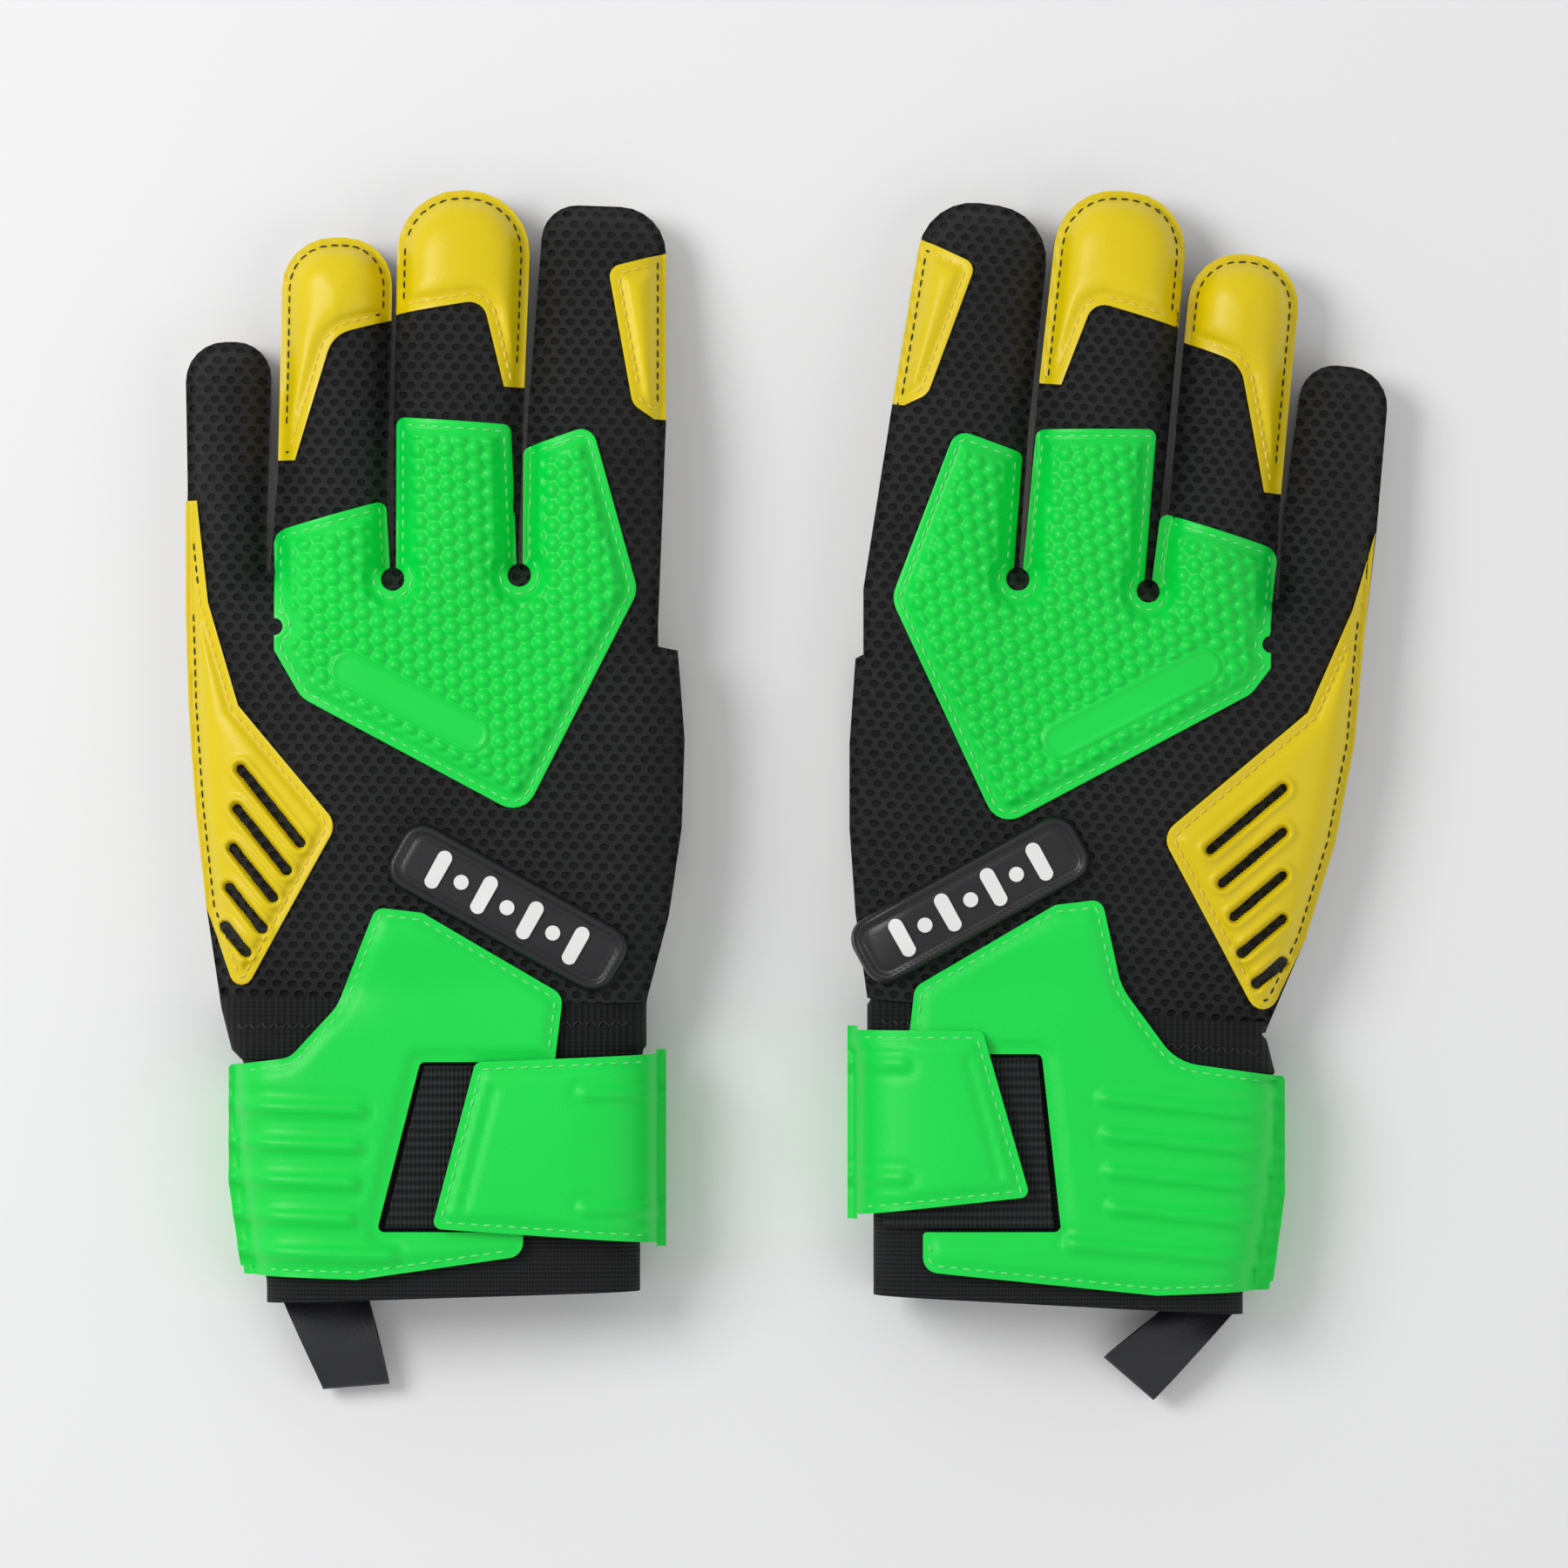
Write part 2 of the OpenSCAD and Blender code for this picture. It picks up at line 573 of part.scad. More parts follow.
translate([shift.x, shift.y, 0]) for (side = [0, 1]) {
    if (wanted(side, "hand_back")) hand_back(side);
    if (wanted(side, "hand_palm")) hand_palm(side);
    if (wanted(side, "hand_gusset")) hand_gusset(side);
    if (wanted(side, "punch_panel")) punch_panel(side);
    if (wanted(side, "side_panel")) side_panel(side);
    if (wanted(side, "badge")) badge(side);
    if (wanted(side, "wrist_band")) wrist_band(side);
    if (wanted(side, "cuff")) cuff(side);
    if (wanted(side, "cuff_wrap")) cuff_wrap(side);
    if (wanted(side, "loop_patch")) loop_patch(side);
    if (wanted(side, "knuckle_back")) knuckle_back(side);
    if (wanted(side, "knuckle_palm")) knuckle_palm(side);
    if (wanted(side, "punch_lobes")) punch_lobes(side);
    if (wanted(side, "side_strip")) side_strip(side);
    if (wanted(side, "index_back")) finger_back(side, INDEX);
    if (wanted(side, "index_palm")) finger_palm(side, INDEX);
    if (wanted(side, "middle_back")) finger_back(side, MIDDLE);
    if (wanted(side, "middle_palm")) finger_palm(side, MIDDLE);
    if (wanted(side, "ring_back")) finger_back(side, RING);
    if (wanted(side, "ring_palm")) finger_palm(side, RING);
    if (wanted(side, "pinky_back")) finger_back(side, PINKY);
    if (wanted(side, "pinky_palm")) finger_palm(side, PINKY);
    if (wanted(side, "index_patch")) finger_cap(side, INDEX, index_patch_outline);
    if (wanted(side, "middle_cap")) finger_cap(side, MIDDLE, middle_cap_outline);
    if (wanted(side, "ring_cap")) finger_cap(side, RING, ring_cap_outline);
    if (wanted(side, "thumb_back")) thumb_back(side);
    if (wanted(side, "thumb_palm")) thumb_palm(side);
    if (wanted(side, "strap")) strap(side);
    if (wanted(side, "hook_patch")) hook_patch(side);
    if (wanted(side, "pull_loop")) pull_loop(side);
}
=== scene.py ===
# Looks of a pair of goalkeeper gloves. Working lengths are millimetres; finished() turns them to metres.
import json
import math

import bmesh
import bpy
import numpy as np
from mathutils import Matrix, Vector, noise


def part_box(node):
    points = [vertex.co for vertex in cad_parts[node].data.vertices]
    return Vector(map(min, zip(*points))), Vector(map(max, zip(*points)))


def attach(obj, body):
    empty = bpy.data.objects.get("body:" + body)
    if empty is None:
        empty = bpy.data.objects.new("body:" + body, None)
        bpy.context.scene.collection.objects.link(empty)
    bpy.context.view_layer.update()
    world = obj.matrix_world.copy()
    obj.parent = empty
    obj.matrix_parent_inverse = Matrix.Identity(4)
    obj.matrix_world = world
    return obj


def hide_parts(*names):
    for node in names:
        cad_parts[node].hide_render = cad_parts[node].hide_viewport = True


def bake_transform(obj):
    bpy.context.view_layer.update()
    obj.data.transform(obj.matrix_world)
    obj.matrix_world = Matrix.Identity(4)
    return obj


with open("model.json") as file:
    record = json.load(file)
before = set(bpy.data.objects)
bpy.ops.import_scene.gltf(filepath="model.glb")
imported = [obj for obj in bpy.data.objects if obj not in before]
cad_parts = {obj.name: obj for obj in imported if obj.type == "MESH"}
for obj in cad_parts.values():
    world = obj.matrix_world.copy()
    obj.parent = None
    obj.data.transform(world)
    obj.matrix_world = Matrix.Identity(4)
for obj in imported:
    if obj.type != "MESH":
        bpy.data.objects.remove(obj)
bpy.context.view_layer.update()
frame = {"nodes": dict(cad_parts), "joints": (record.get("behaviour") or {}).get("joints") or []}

MM = 0.001
SIDES = ("left", "right")
FINGERS = ("index", "middle", "ring", "pinky")
JOINTS = {j["name"]: j for j in frame["joints"]}
DROOP = math.radians(9)          # how far the CAD fingers droop about their creases
LEAN = {"left": math.radians(2), "right": math.radians(6)}
WEB_RISE = {"left": 15.5, "right": 11.5}    # from the knuckle line to where the fingers are cut off

# The soft shell
SEAM_Z = 18.0                    # height of the seam line's middle on the thumb side
SEAM_SAG = 8.0                   # how much lower it lies on the pinky side
SAG_REACH = 48.0                 # how far in from the pinky edge it sags
TIP_SEAM_Z = 7.6                 # its height at the fingertips
GUSSET_HALF = 4.5                # half the gusset's height
GUSSET_ROWS = 4
BACK_RISE = 8.2                  # how far the back bulges above its edge
BACK_ROUND = 15.0                # over how far it does so
BACK_WALL = 1.9
PALM_FALL = 3.2                  # how far the palm bulges below its edge
PALM_WALL = 2.6
FLANGE = 1.6                     # width of the flat seam flange
PAD_BED = 1.3                    # how far the mesh sinks under a pad
WRIST_Y = max(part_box(f"{side}_wrist_band")[1][1] for side in SIDES) / MM + 1
OPEN_END_Y = -48                 # below this the hand's outline is open into the cuff
CUFF_CENTRE_Z, CUFF_HALF = 15.2, 13.4
FLOOR_GAP = 0.15

# Stitches
STITCH_LENGTH, STITCH_WIDTH, STITCH_LIFT = 2.1, 0.62, 0.24
GREEN_INSET, GREEN_STEP = 1.8, 2.9
YELLOW_INSET, YELLOW_STEP = 2.1, 2.7
OUTER_RIM = 3.4                  # yellow pads are sewn in black this near the glove's edge

# Relief
STUD_COLUMN, STUD_PITCH, STUD_RADIUS, STUD_HEIGHT = 3.7, 4.5, 2.15, 1.6
PLAQUE_HALF = 4.0
RIB_COUNT, RIB_PITCH = 5, 9.2
SLOT_HALF = 1.3                  # half the width of the side panel's cut-outs
MARK_COUNT, MARK_PITCH, MARK_RADIUS = 7, 6.6, 1.9


# ---------------------------------------------------------------- plan shapes read from the frame

def smooth(t):
    """A smooth step from 0 to 1."""
    t = np.clip(t, 0, 1)
    return t * t * (3 - 2 * t)


def quarter(t):
    """A quarter circle: 0 at the edge, 1 and level further in."""
    t = np.clip(t, 0, 1)
    return np.sqrt(1 - (1 - t) ** 2)


def ridge(x, width):
    """A soft bump: 1 at x = 0, falling away over a width."""
    return np.exp(-(x / width) ** 2)


def face_out(bm):
    """Makes every face look outwards."""
    bmesh.ops.recalc_face_normals(bm, faces=bm.faces[:])


def cut(bm, at, normal):
    """Cuts all of a mesh's faces along a plane and keeps both sides."""
    bmesh.ops.bisect_plane(bm, geom=bm.verts[:] + bm.edges[:] + bm.faces[:], dist=1e-4,
                           plane_co=at, plane_no=normal)


def node_mesh(name, joint=None):
    """A welded copy of a CAD node in millimetres, with a finger's droop taken out."""
    bm = bmesh.new()
    bm.from_mesh(frame["nodes"][name].data)
    if joint:
        turn = Matrix.Rotation(-DROOP, 3, Vector(JOINTS[joint]["axis"]))
        bmesh.ops.rotate(bm, cent=JOINTS[joint]["pos_m"], matrix=turn, verts=bm.verts)
    bmesh.ops.scale(bm, vec=(1 / MM,) * 3, verts=bm.verts)
    bmesh.ops.remove_doubles(bm, verts=bm.verts, dist=0.01)
    return bm


def outer_loop(bm):
    """The vertices round a flat mesh's outer edge, without those round its holes."""
    following = {}
    for e in bm.edges:
        if e.is_boundary:
            turn = e.link_loops[0]
            following[turn.vert] = turn.link_loop_next.vert
    loops = []
    while following:
        start = next(iter(following))
        ring, at = [start], following.pop(start)
        while at in following:
            ring.append(at)
            at = following.pop(at)
        loops.append(ring)

    def area(ring):
        x, y = xy(ring).T
        return abs((x * np.roll(y, -1) - np.roll(x, -1) * y).sum())
    return max(loops, key=area)


def plan(names, weld=0.45):
    """The joined top faces of some CAD nodes, flat at z = 0, as one face without inner edges."""
    out = bmesh.new()
    for name, joint in names:
        bm = node_mesh(name, joint)
        top = max(v.co.z for v in bm.verts)
        low = [f for f in bm.faces if f.normal.z < 0.9 or f.calc_center_median().z < top - 0.1]
        bmesh.ops.delete(bm, geom=low, context="FACES")
        for v in bm.verts:
            v.co.z = 0
        mesh = bpy.data.meshes.new("scratch")
        bm.to_mesh(mesh)
        out.from_mesh(mesh)
        bpy.data.meshes.remove(mesh)
        bm.free()
    bmesh.ops.remove_doubles(out, verts=out.verts, dist=weld)
    ring = set(outer_loop(out))
    holes = [e for e in out.edges if e.is_boundary and not ring.issuperset(e.verts)]
    if holes:
        bmesh.ops.holes_fill(out, edges=holes, sides=0)
        face_out(out)
    bmesh.ops.dissolve_faces(out, faces=out.faces[:], use_verts=False)
    out.faces.ensure_lookup_table()
    if out.faces[0].normal.z < 0:
        bmesh.ops.reverse_faces(out, faces=out.faces[:])
    return out


def still(side, *names):
    """The plan shape of some of a glove's nodes that lie on no finger's end."""
    return plan([(f"{side}_{name}", None) for name in names])


def outline(bm):
    """The outer loop of a flat face, as an array of points."""
    face = max(bm.faces, key=lambda f: f.calc_area())
    return np.array([v.co[:2] for v in face.verts])


def edges_of(loop):
    """The starts and ends of a closed outline's edges."""
    return loop, np.roll(loop, -1, axis=0)


def distance(points, a, b):
    """Distance from each point to the nearest of the segments a to b."""
    best = np.full(len(points), 1e9)
    for p, q in zip(a, b):
        d = q - p
        n = float(d @ d)
        if n < 1e-9:
            continue
        t = np.clip(((points - p) @ d) / n, 0, 1)
        best = np.minimum(best, np.hypot(*(points - p - t[:, None] * d).T))
    return best


def inside(loop, points):
    """Which points lie within a closed outline."""
    a, b = edges_of(loop)
    y = points[:, 1:2]
    spans = (a[:, 1] > y) != (b[:, 1] > y)
    rise = np.where(a[:, 1] == b[:, 1], 1e-9, b[:, 1] - a[:, 1])
    x = a[:, 0] + (y - a[:, 1]) * (b[:, 0] - a[:, 0]) / rise
    return (spans & (points[:, 0:1] < x)).sum(axis=1) % 2 == 1


def corner(points, way):
    """The point furthest along a direction."""
    return points[np.argmax(points @ np.array(way, float))]


def crossings(loop, y):
    """Where an outline crosses a line of constant y, from low x to high x."""
    a, b = edges_of(loop)
    hit = (a[:, 1] > y) != (b[:, 1] > y)
    a, b = a[hit], b[hit]
    return sorted(a[:, 0] + (y - a[:, 1]) / (b[:, 1] - a[:, 1]) * (b[:, 0] - a[:, 0]))


class Glove:
    """One glove's plan and the height of its back, its palm and its sleeve at any point."""

    def __init__(self, side):
        self.side = side
        self.inward = 1 if side == "left" else -1
        fingers = [(f"{side}_{f}_back", f"{side}_{f}_bend") for f in FINGERS]
        self.plan = plan([(f"{side}_hand_back", None), (f"{side}_knuckle_back", None)] + fingers)
        loop = outline(self.plan)
        a, b = edges_of(loop)
        keep = ~((a[:, 1] < OPEN_END_Y) & (b[:, 1] < OPEN_END_Y))
        self.a, self.b = a[keep], b[keep]
        knuckle = JOINTS[f"{side}_knuckle_bend"]
        self.knuckle = np.array(knuckle["pos_m"][:2]) / MM
        self.across = -np.array(knuckle["axis"][:2])
        self.along = np.array([-self.across[1], self.across[0]])
        self.web = WEB_RISE[side]
        self.ys = np.arange(-50, 100, 3.0)
        pick = 0 if side == "left" else -1
        self.outer_x = np.array([crossings(loop, y)[pick] for y in self.ys])
        self.creases = {}
        for f in FINGERS:
            j = JOINTS[f"{side}_{f}_bend"]
            ax = -np.array(j["axis"][:2])
            self.creases[f] = (np.array(j["pos_m"][:2]) / MM, np.array([-ax[1], ax[0]]))
        loops = [outline(still(side, name)) for name in ("cuff", "wrist_band")] + [loop]
        self.sleeve_y = np.arange(-125, -49, 1.5)
        spans = [sum((crossings(each, y) for each in loops), []) for y in self.sleeve_y]
        self.sleeve_lo = np.array([min(xs) for xs in spans])
        self.sleeve_hi = np.array([max(xs) for xs in spans])

        bend = {f: f"{side}_{f}_bend" for f in FINGERS}
        pads = (
            [("punch_panel", None), ("punch_lobes", None)],
            [("side_panel", None), ("side_strip", None)],
            [("index_patch", bend["index"])],
            [("middle_cap", bend["middle"])],
            [("ring_cap", bend["ring"])],
        )
        self.pads = [outline(plan([(f"{side}_{name}", joint) for name, joint in parts])) for parts in pads]

    def edge(self, p):
        """How far each point lies from the glove's sewn edge."""
        return distance(p, self.a, self.b)

    def under_pads(self, p):
        """How fully each point is covered by a pad, from 0 to 1."""
        cover = np.zeros(len(p))
        for loop in self.pads:
            held = inside(loop, p)
            cover[held] = smooth((distance(p[held], *edges_of(loop)) - 0.4) / 1.2)
        return cover

    def past_crease(self, p):
        """How far each point lies past its own finger's crease."""
        best, past = np.full(len(p), 1e9), np.zeros(len(p))
        for at, way in self.creases.values():
            r = p - at
            off = np.abs(r @ np.array([way[1], -way[0]]))
            near = off < best
            best[near], past[near] = off[near], (r @ way)[near]
        return np.maximum(past + 6, 0)

    def seam(self, p):
        """The height of the seam between back and palm."""
        e = self.inward * (p[:, 0] - np.interp(p[:, 1], self.ys, self.outer_x))
        mid = SEAM_Z - SEAM_SAG * smooth(1 - e / SAG_REACH)
        mid -= 0.2 * self.past_crease(p) ** 1.02 * np.clip((mid - 5) / 13, 0.3, 1)
        return TIP_SEAM_Z + np.logaddexp(0, (mid - TIP_SEAM_Z) * 1.2) / 1.2

    def sleeve_span(self, y):
        """The wrist's and cuff's low and high x at a height y along the glove."""
        return np.interp(y, self.sleeve_y, self.sleeve_lo), np.interp(y, self.sleeve_y, self.sleeve_hi)

    def sleeve_top(self, p, grow=0.0):
        """The upper surface of the wrist and the cuff."""
        lo, hi = self.sleeve_span(p[:, 1])
        u = np.abs(p[:, 0] - (lo + hi) / 2) / ((hi - lo) / 2 + grow)
        return CUFF_CENTRE_Z + (CUFF_HALF + grow) * np.sqrt(np.clip(1 - u ** 7, 0, 1))

    def back(self, p):
        """The back's outer surface: bulging, grooved beside its seam, drawn in towards the wrist."""
        d = self.edge(p)
        rise = BACK_RISE * quarter((d - FLANGE) / BACK_ROUND)
        groove = 0.5 * ridge(d - FLANGE - 0.7, 0.5)
        cinch = 2.2 * smooth((-36 - p[:, 1]) / 16) * np.clip(d / 12, 0, 1)
        waves = np.array([noise.noise((x / 38, y / 52, 3.1)) for x, y in p]) * 1.1
        waves *= np.clip(d / 14, 0, 1)
        return self.seam(p) + GUSSET_HALF + rise - groove - cinch + waves

    def skin(self, p, grow=0.0):
        """The outer surface of the back, which runs on over the wrist into the sleeve."""
        t = smooth((-50 - p[:, 1]) / 12)
        return self.back(p) * (1 - t) + self.sleeve_top(p, grow) * t + grow * (1 - t)

    def palm(self, p):
        """The palm's outer surface."""
        d = self.edge(p)
        z = self.seam(p) - GUSSET_HALF - PALM_FALL * quarter((d - 1) / 12)
        return np.maximum(z, FLOOR_GAP + 0.1)


# ---------------------------------------------------------------- mesh helpers

def xy(verts):
    """The plan points of some vertices."""
    return np.array([v.co[:2] for v in verts])


def gridded(bm, pitch):
    """Cuts a flat face into a grid that keeps its outline."""
    points = xy(bm.verts)
    for axis in (0, 1):
        normal = (1, 0, 0) if axis == 0 else (0, 1, 0)
        lo, hi = points[:, axis].min(), points[:, axis].max()
        for c in np.arange(math.ceil(lo / pitch) * pitch, hi, pitch):
            at = (c + 0.013, 0, 0) if axis == 0 else (0, c + 0.013, 0)
            cut(bm, at, normal)
    return bm


def halved(bm):
    """A grid with every cell cut in four."""
    bmesh.ops.subdivide_edges(bm, edges=bm.edges[:], cuts=1, use_grid_fill=True)
    return bm


def slab(bm, top, bottom):
    """Gives a flat grid a top and a bottom surface, each a function of the plan points."""
    p = xy(bm.verts)
    lower = bm.verts[:]
    made = bmesh.ops.extrude_face_region(bm, geom=bm.faces[:])
    upper = [g for g in made["geom"] if isinstance(g, bmesh.types.BMVert)]
    for v, z in zip(upper, top(xy(upper))):
        v.co.z = z
    for v, z in zip(lower, bottom(p)):
        v.co.z = z
    face_out(bm)
    return bm


def islands(bm):
    """The face indices of each connected part."""
    bm.faces.ensure_lookup_table()
    bm.faces.index_update()
    seen, parts = set(), []
    for start in bm.faces:
        if start.index in seen:
            continue
        part, queue = set(), [start]
        seen.add(start.index)
        while queue:
            f = queue.pop()
            part.add(f.index)
            for e in f.edges:
                for other in e.link_faces:
                    if other.index not in seen:
                        seen.add(other.index)
                        queue.append(other)
        parts.append(part)
    return parts


def only(bm, part):
    """A copy that keeps only the faces with these indices."""
    copy = bm.copy()
    copy.faces.ensure_lookup_table()
    bmesh.ops.delete(copy, geom=[f for f in copy.faces if f.index not in part], context="FACES")
    return copy


def split(glove, bm):
    """Cuts a glove-wide mesh at the web line into the hand and the four fingers."""
    at = glove.knuckle + glove.along * glove.web
    cut(bm, (*at, 0), (*glove.along, 0))
    bm.faces.ensure_lookup_table()
    bm.faces.index_update()
    past = {f.index for f in bm.faces
            if (np.array(f.calc_center_median()[:2]) - at) @ glove.along > 0}
    parts = {"hand": only(bm, {f.index for f in bm.faces} - past)}
    fingers = only(bm, past)
    found = [p for p in islands(fingers) if len(p) > 8]
    fingers.faces.ensure_lookup_table()
    found.sort(key=lambda p: np.mean([fingers.faces[i].calc_center_median().x for i in p]))
    order = FINGERS[::-1] if glove.side == "left" else FINGERS
    for name, part in zip(order, found):
        parts[name] = only(fingers, part)
    return parts


def finished(bm, name, finish):
    """Turns a mesh to metres and makes it a piece with its finish."""
    bmesh.ops.scale(bm, vec=(MM,) * 3, verts=bm.verts)
    mesh = bpy.data.meshes.new(name)
    bm.to_mesh(mesh)
    bm.free()
    for poly in mesh.polygons:
        poly.use_smooth = True
    mesh.set_sharp_from_angle(angle=math.radians(50))
    piece = bpy.data.objects.new(name, mesh)
    bpy.context.collection.objects.link(piece)
    mesh.materials.append(finish)
    return piece


def seam_line(shape, inset, step):
    """Evenly spaced points a set distance inside a shape's edge, with the way the seam runs."""
    loop = outline(shape)
    x, y = loop.T
    if (x * np.roll(y, -1) - np.roll(x, -1) * y).sum() < 0:
        loop = loop[::-1]
    a, b = edges_of(loop)
    ring = np.vstack([loop, loop[:1]])
    run = np.concatenate([[0], np.cumsum(np.hypot(*(b - a).T))])
    s = np.arange(0, run[-1], 0.4)
    edge = np.column_stack([np.interp(s, run, ring[:, k]) for k in (0, 1)])
    ahead = np.column_stack([np.interp(s + 0.3, run, ring[:, k]) for k in (0, 1)])
    way = (ahead - edge) / np.maximum(np.hypot(*(ahead - edge).T), 1e-6)[:, None]
    at = edge + inset * np.column_stack([-way[:, 1], way[:, 0]])
    clear = distance(at, a, b) > 0.97 * inset
    kept = []
    for i in np.nonzero(clear)[0]:
        if not kept or np.hypot(*(at[kept] - at[i]).T).min() > step:
            kept.append(i)
    return at[kept], way[kept]


def stitch_row(at, way, height, name, finish, length=STITCH_LENGTH, width=STITCH_WIDTH):
    """A row of thread stitches, each a small rounded bar that dips at its ends."""
    bm = bmesh.new()
    z0 = height(at - way * length * 0.35)
    z1 = height(at + way * length * 0.35)
    for p, w, lo, hi in zip(at, way, z0, z1):
        place = Matrix.Translation((p[0], p[1], (lo + hi) / 2 + STITCH_LIFT))
        place @= Matrix.Rotation(math.atan2(w[1], w[0]), 4, "Z")
        place @= Matrix.Rotation(-math.atan2(hi - lo, length * 0.7), 4, "Y")
        place @= Matrix.Diagonal((length / 2, width / 2, width * 0.45, 1))
        bmesh.ops.create_uvsphere(bm, u_segments=6, v_segments=4, radius=1,
                                  matrix=place @ Matrix.Rotation(math.pi / 2, 4, "Y"))
    return finished(bm, name, finish)


# ---------------------------------------------------------------- finishes

def shader(name, colour, roughness, **sockets):
    """A new material, with its node tree and its shader."""
    mat = bpy.data.materials.new(name)
    mat.use_nodes = True
    bsdf = mat.node_tree.nodes["Principled BSDF"]
    bsdf.inputs["Base Color"].default_value = (*colour, 1)
    bsdf.inputs["Roughness"].default_value = roughness
    for key, value in sockets.items():
        bsdf.inputs[key.replace("_", " ")].default_value = value
    return mat, mat.node_tree, bsdf


def node(tree, kind, **values):
    made = tree.nodes.new(kind)
    for key, value in values.items():
        setattr(made, key, value)
    return made


def maths(tree, operation, a, b=None):
    """A math node's output, from numbers or other nodes' outputs."""
    made = node(tree, "ShaderNodeMath", operation=operation)
    for socket, value in zip(made.inputs, (a, b)):
        if value is None:
            continue
        if isinstance(value, (int, float)):
            socket.default_value = value
        else:
            tree.links.new(value, socket)
    return made.outputs[0]


def object_place(tree, turn=0.0):
    """Object coordinates, turned about z."""
    where = node(tree, "ShaderNodeTexCoord")
    mapping = node(tree, "ShaderNodeMapping")
    mapping.inputs["Rotation"].default_value = (0, 0, turn)
    tree.links.new(where.outputs["Object"], mapping.inputs["Vector"])
    return mapping.outputs[0]


def grain(tree, vector, scale, detail=2.0, roughness=0.5):
    """A noise pattern."""
    made = node(tree, "ShaderNodeTexNoise")
    made.inputs["Scale"].default_value = scale
    made.inputs["Detail"].default_value = detail
    made.inputs["Roughness"].default_value = roughness
    tree.links.new(vector, made.inputs["Vector"])
    return made.outputs["Fac"]


def bump(tree, bsdf, height, depth, strength=1.0):
    made = node(tree, "ShaderNodeBump")
    made.inputs["Strength"].default_value = strength
    made.inputs["Distance"].default_value = depth
    tree.links.new(height, made.inputs["Height"])
    tree.links.new(made.outputs[0], bsdf.inputs["Normal"])


def shade(tree, bsdf, factor, dark, light):
    """Mixes the base colour between two shades by a factor."""
    ramp = node(tree, "ShaderNodeMapRange", interpolation_type="SMOOTHSTEP")
    tree.links.new(factor, ramp.inputs["Value"])
    mix = node(tree, "ShaderNodeMix", data_type="RGBA")
    tree.links.new(ramp.outputs[0], mix.inputs["Factor"])
    mix.inputs[6].default_value = (*dark, 1)
    mix.inputs[7].default_value = (*light, 1)
    tree.links.new(mix.outputs[2], bsdf.inputs["Base Color"])
    return ramp


def spacer_mesh(name, lean):
    """Black knitted mesh with staggered oval holes in rows. The holes are near-black as painted shade. The
    yarn between them is lightened by noise, partly random tone and partly a painted sheen.
    """
    pitch, row, hole_x, hole_y = 3.8 * MM, 2.5 * MM, 1.05 * MM, 0.82 * MM
    mat, tree, bsdf = shader(name, (0.02, 0.02, 0.022), 0.62, Specular_IOR_Level=0.3)
    split_xyz = node(tree, "ShaderNodeSeparateXYZ")
    place = object_place(tree, lean)
    tree.links.new(place, split_xyz.inputs[0])
    v = maths(tree, "DIVIDE", split_xyz.outputs[1], row)
    row_number = maths(tree, "FLOOR", v)
    odd = maths(tree, "MULTIPLY", maths(tree, "MODULO", maths(tree, "ABSOLUTE", row_number), 2.0), 0.5)
    u = maths(tree, "ADD", maths(tree, "DIVIDE", split_xyz.outputs[0], pitch), odd)
    across = maths(tree, "MULTIPLY", maths(tree, "SUBTRACT", maths(tree, "FRACT", u), 0.5), pitch / hole_x)
    up = maths(tree, "MULTIPLY", maths(tree, "SUBTRACT", maths(tree, "FRACT", v), 0.5), row / hole_y)
    squares = maths(tree, "ADD", maths(tree, "POWER", across, 2.0), maths(tree, "POWER", up, 2.0))
    r = maths(tree, "SQRT", squares)
    ramp = node(tree, "ShaderNodeMapRange", interpolation_type="SMOOTHSTEP")
    tree.links.new(r, ramp.inputs["Value"])
    ramp.inputs["From Min"].default_value = 0.7
    ramp.inputs["From Max"].default_value = 1.25
    yarn = grain(tree, place, 2600, 3.0, 0.7)
    cloud = grain(tree, place, 45, 2.0)
    # The yarn's lighter colour mixes random tone with a painted sheen on the threads.
    yarn_tone_and_sheen = maths(tree, "ADD", maths(tree, "MULTIPLY", yarn, 0.7), cloud)
    hole_shade_and_yarn_sheen = maths(tree, "MULTIPLY", ramp.outputs[0], yarn_tone_and_sheen)
    # Painted shade: the holes get the near-black colour. The yarn gets the lighter colour, which carries tone
    # and a painted sheen.
    shade(tree, bsdf, hole_shade_and_yarn_sheen, (0.0003, 0.0003, 0.0004), (0.015, 0.015, 0.0165))
    height = maths(tree, "ADD", ramp.outputs[0], maths(tree, "MULTIPLY", yarn, 0.35))
    bump(tree, bsdf, height, 1.3 * MM, 1.0)
    return mat


def grained(name, colour, darker, roughness, fine, coarse, depth, **sockets):
    """A sheet material with a fine grain, soft clouds of shade and uneven gloss."""
    mat, tree, bsdf = shader(name, colour, roughness, **sockets)
    place = object_place(tree)
    tiny = grain(tree, place, fine, 3.0, 0.6)
    cloud = grain(tree, place, coarse, 3.0)
    mottle = maths(tree, "ADD", maths(tree, "MULTIPLY", cloud, 0.8), maths(tree, "MULTIPLY", tiny, 0.25))
    shade(tree, bsdf, mottle, darker, colour)
    uneven = maths(tree, "ADD", maths(tree, "MULTIPLY", cloud, 0.16), roughness - 0.08)
    tree.links.new(uneven, bsdf.inputs["Roughness"])
    bump(tree, bsdf, tiny, depth, 0.5)
    return mat


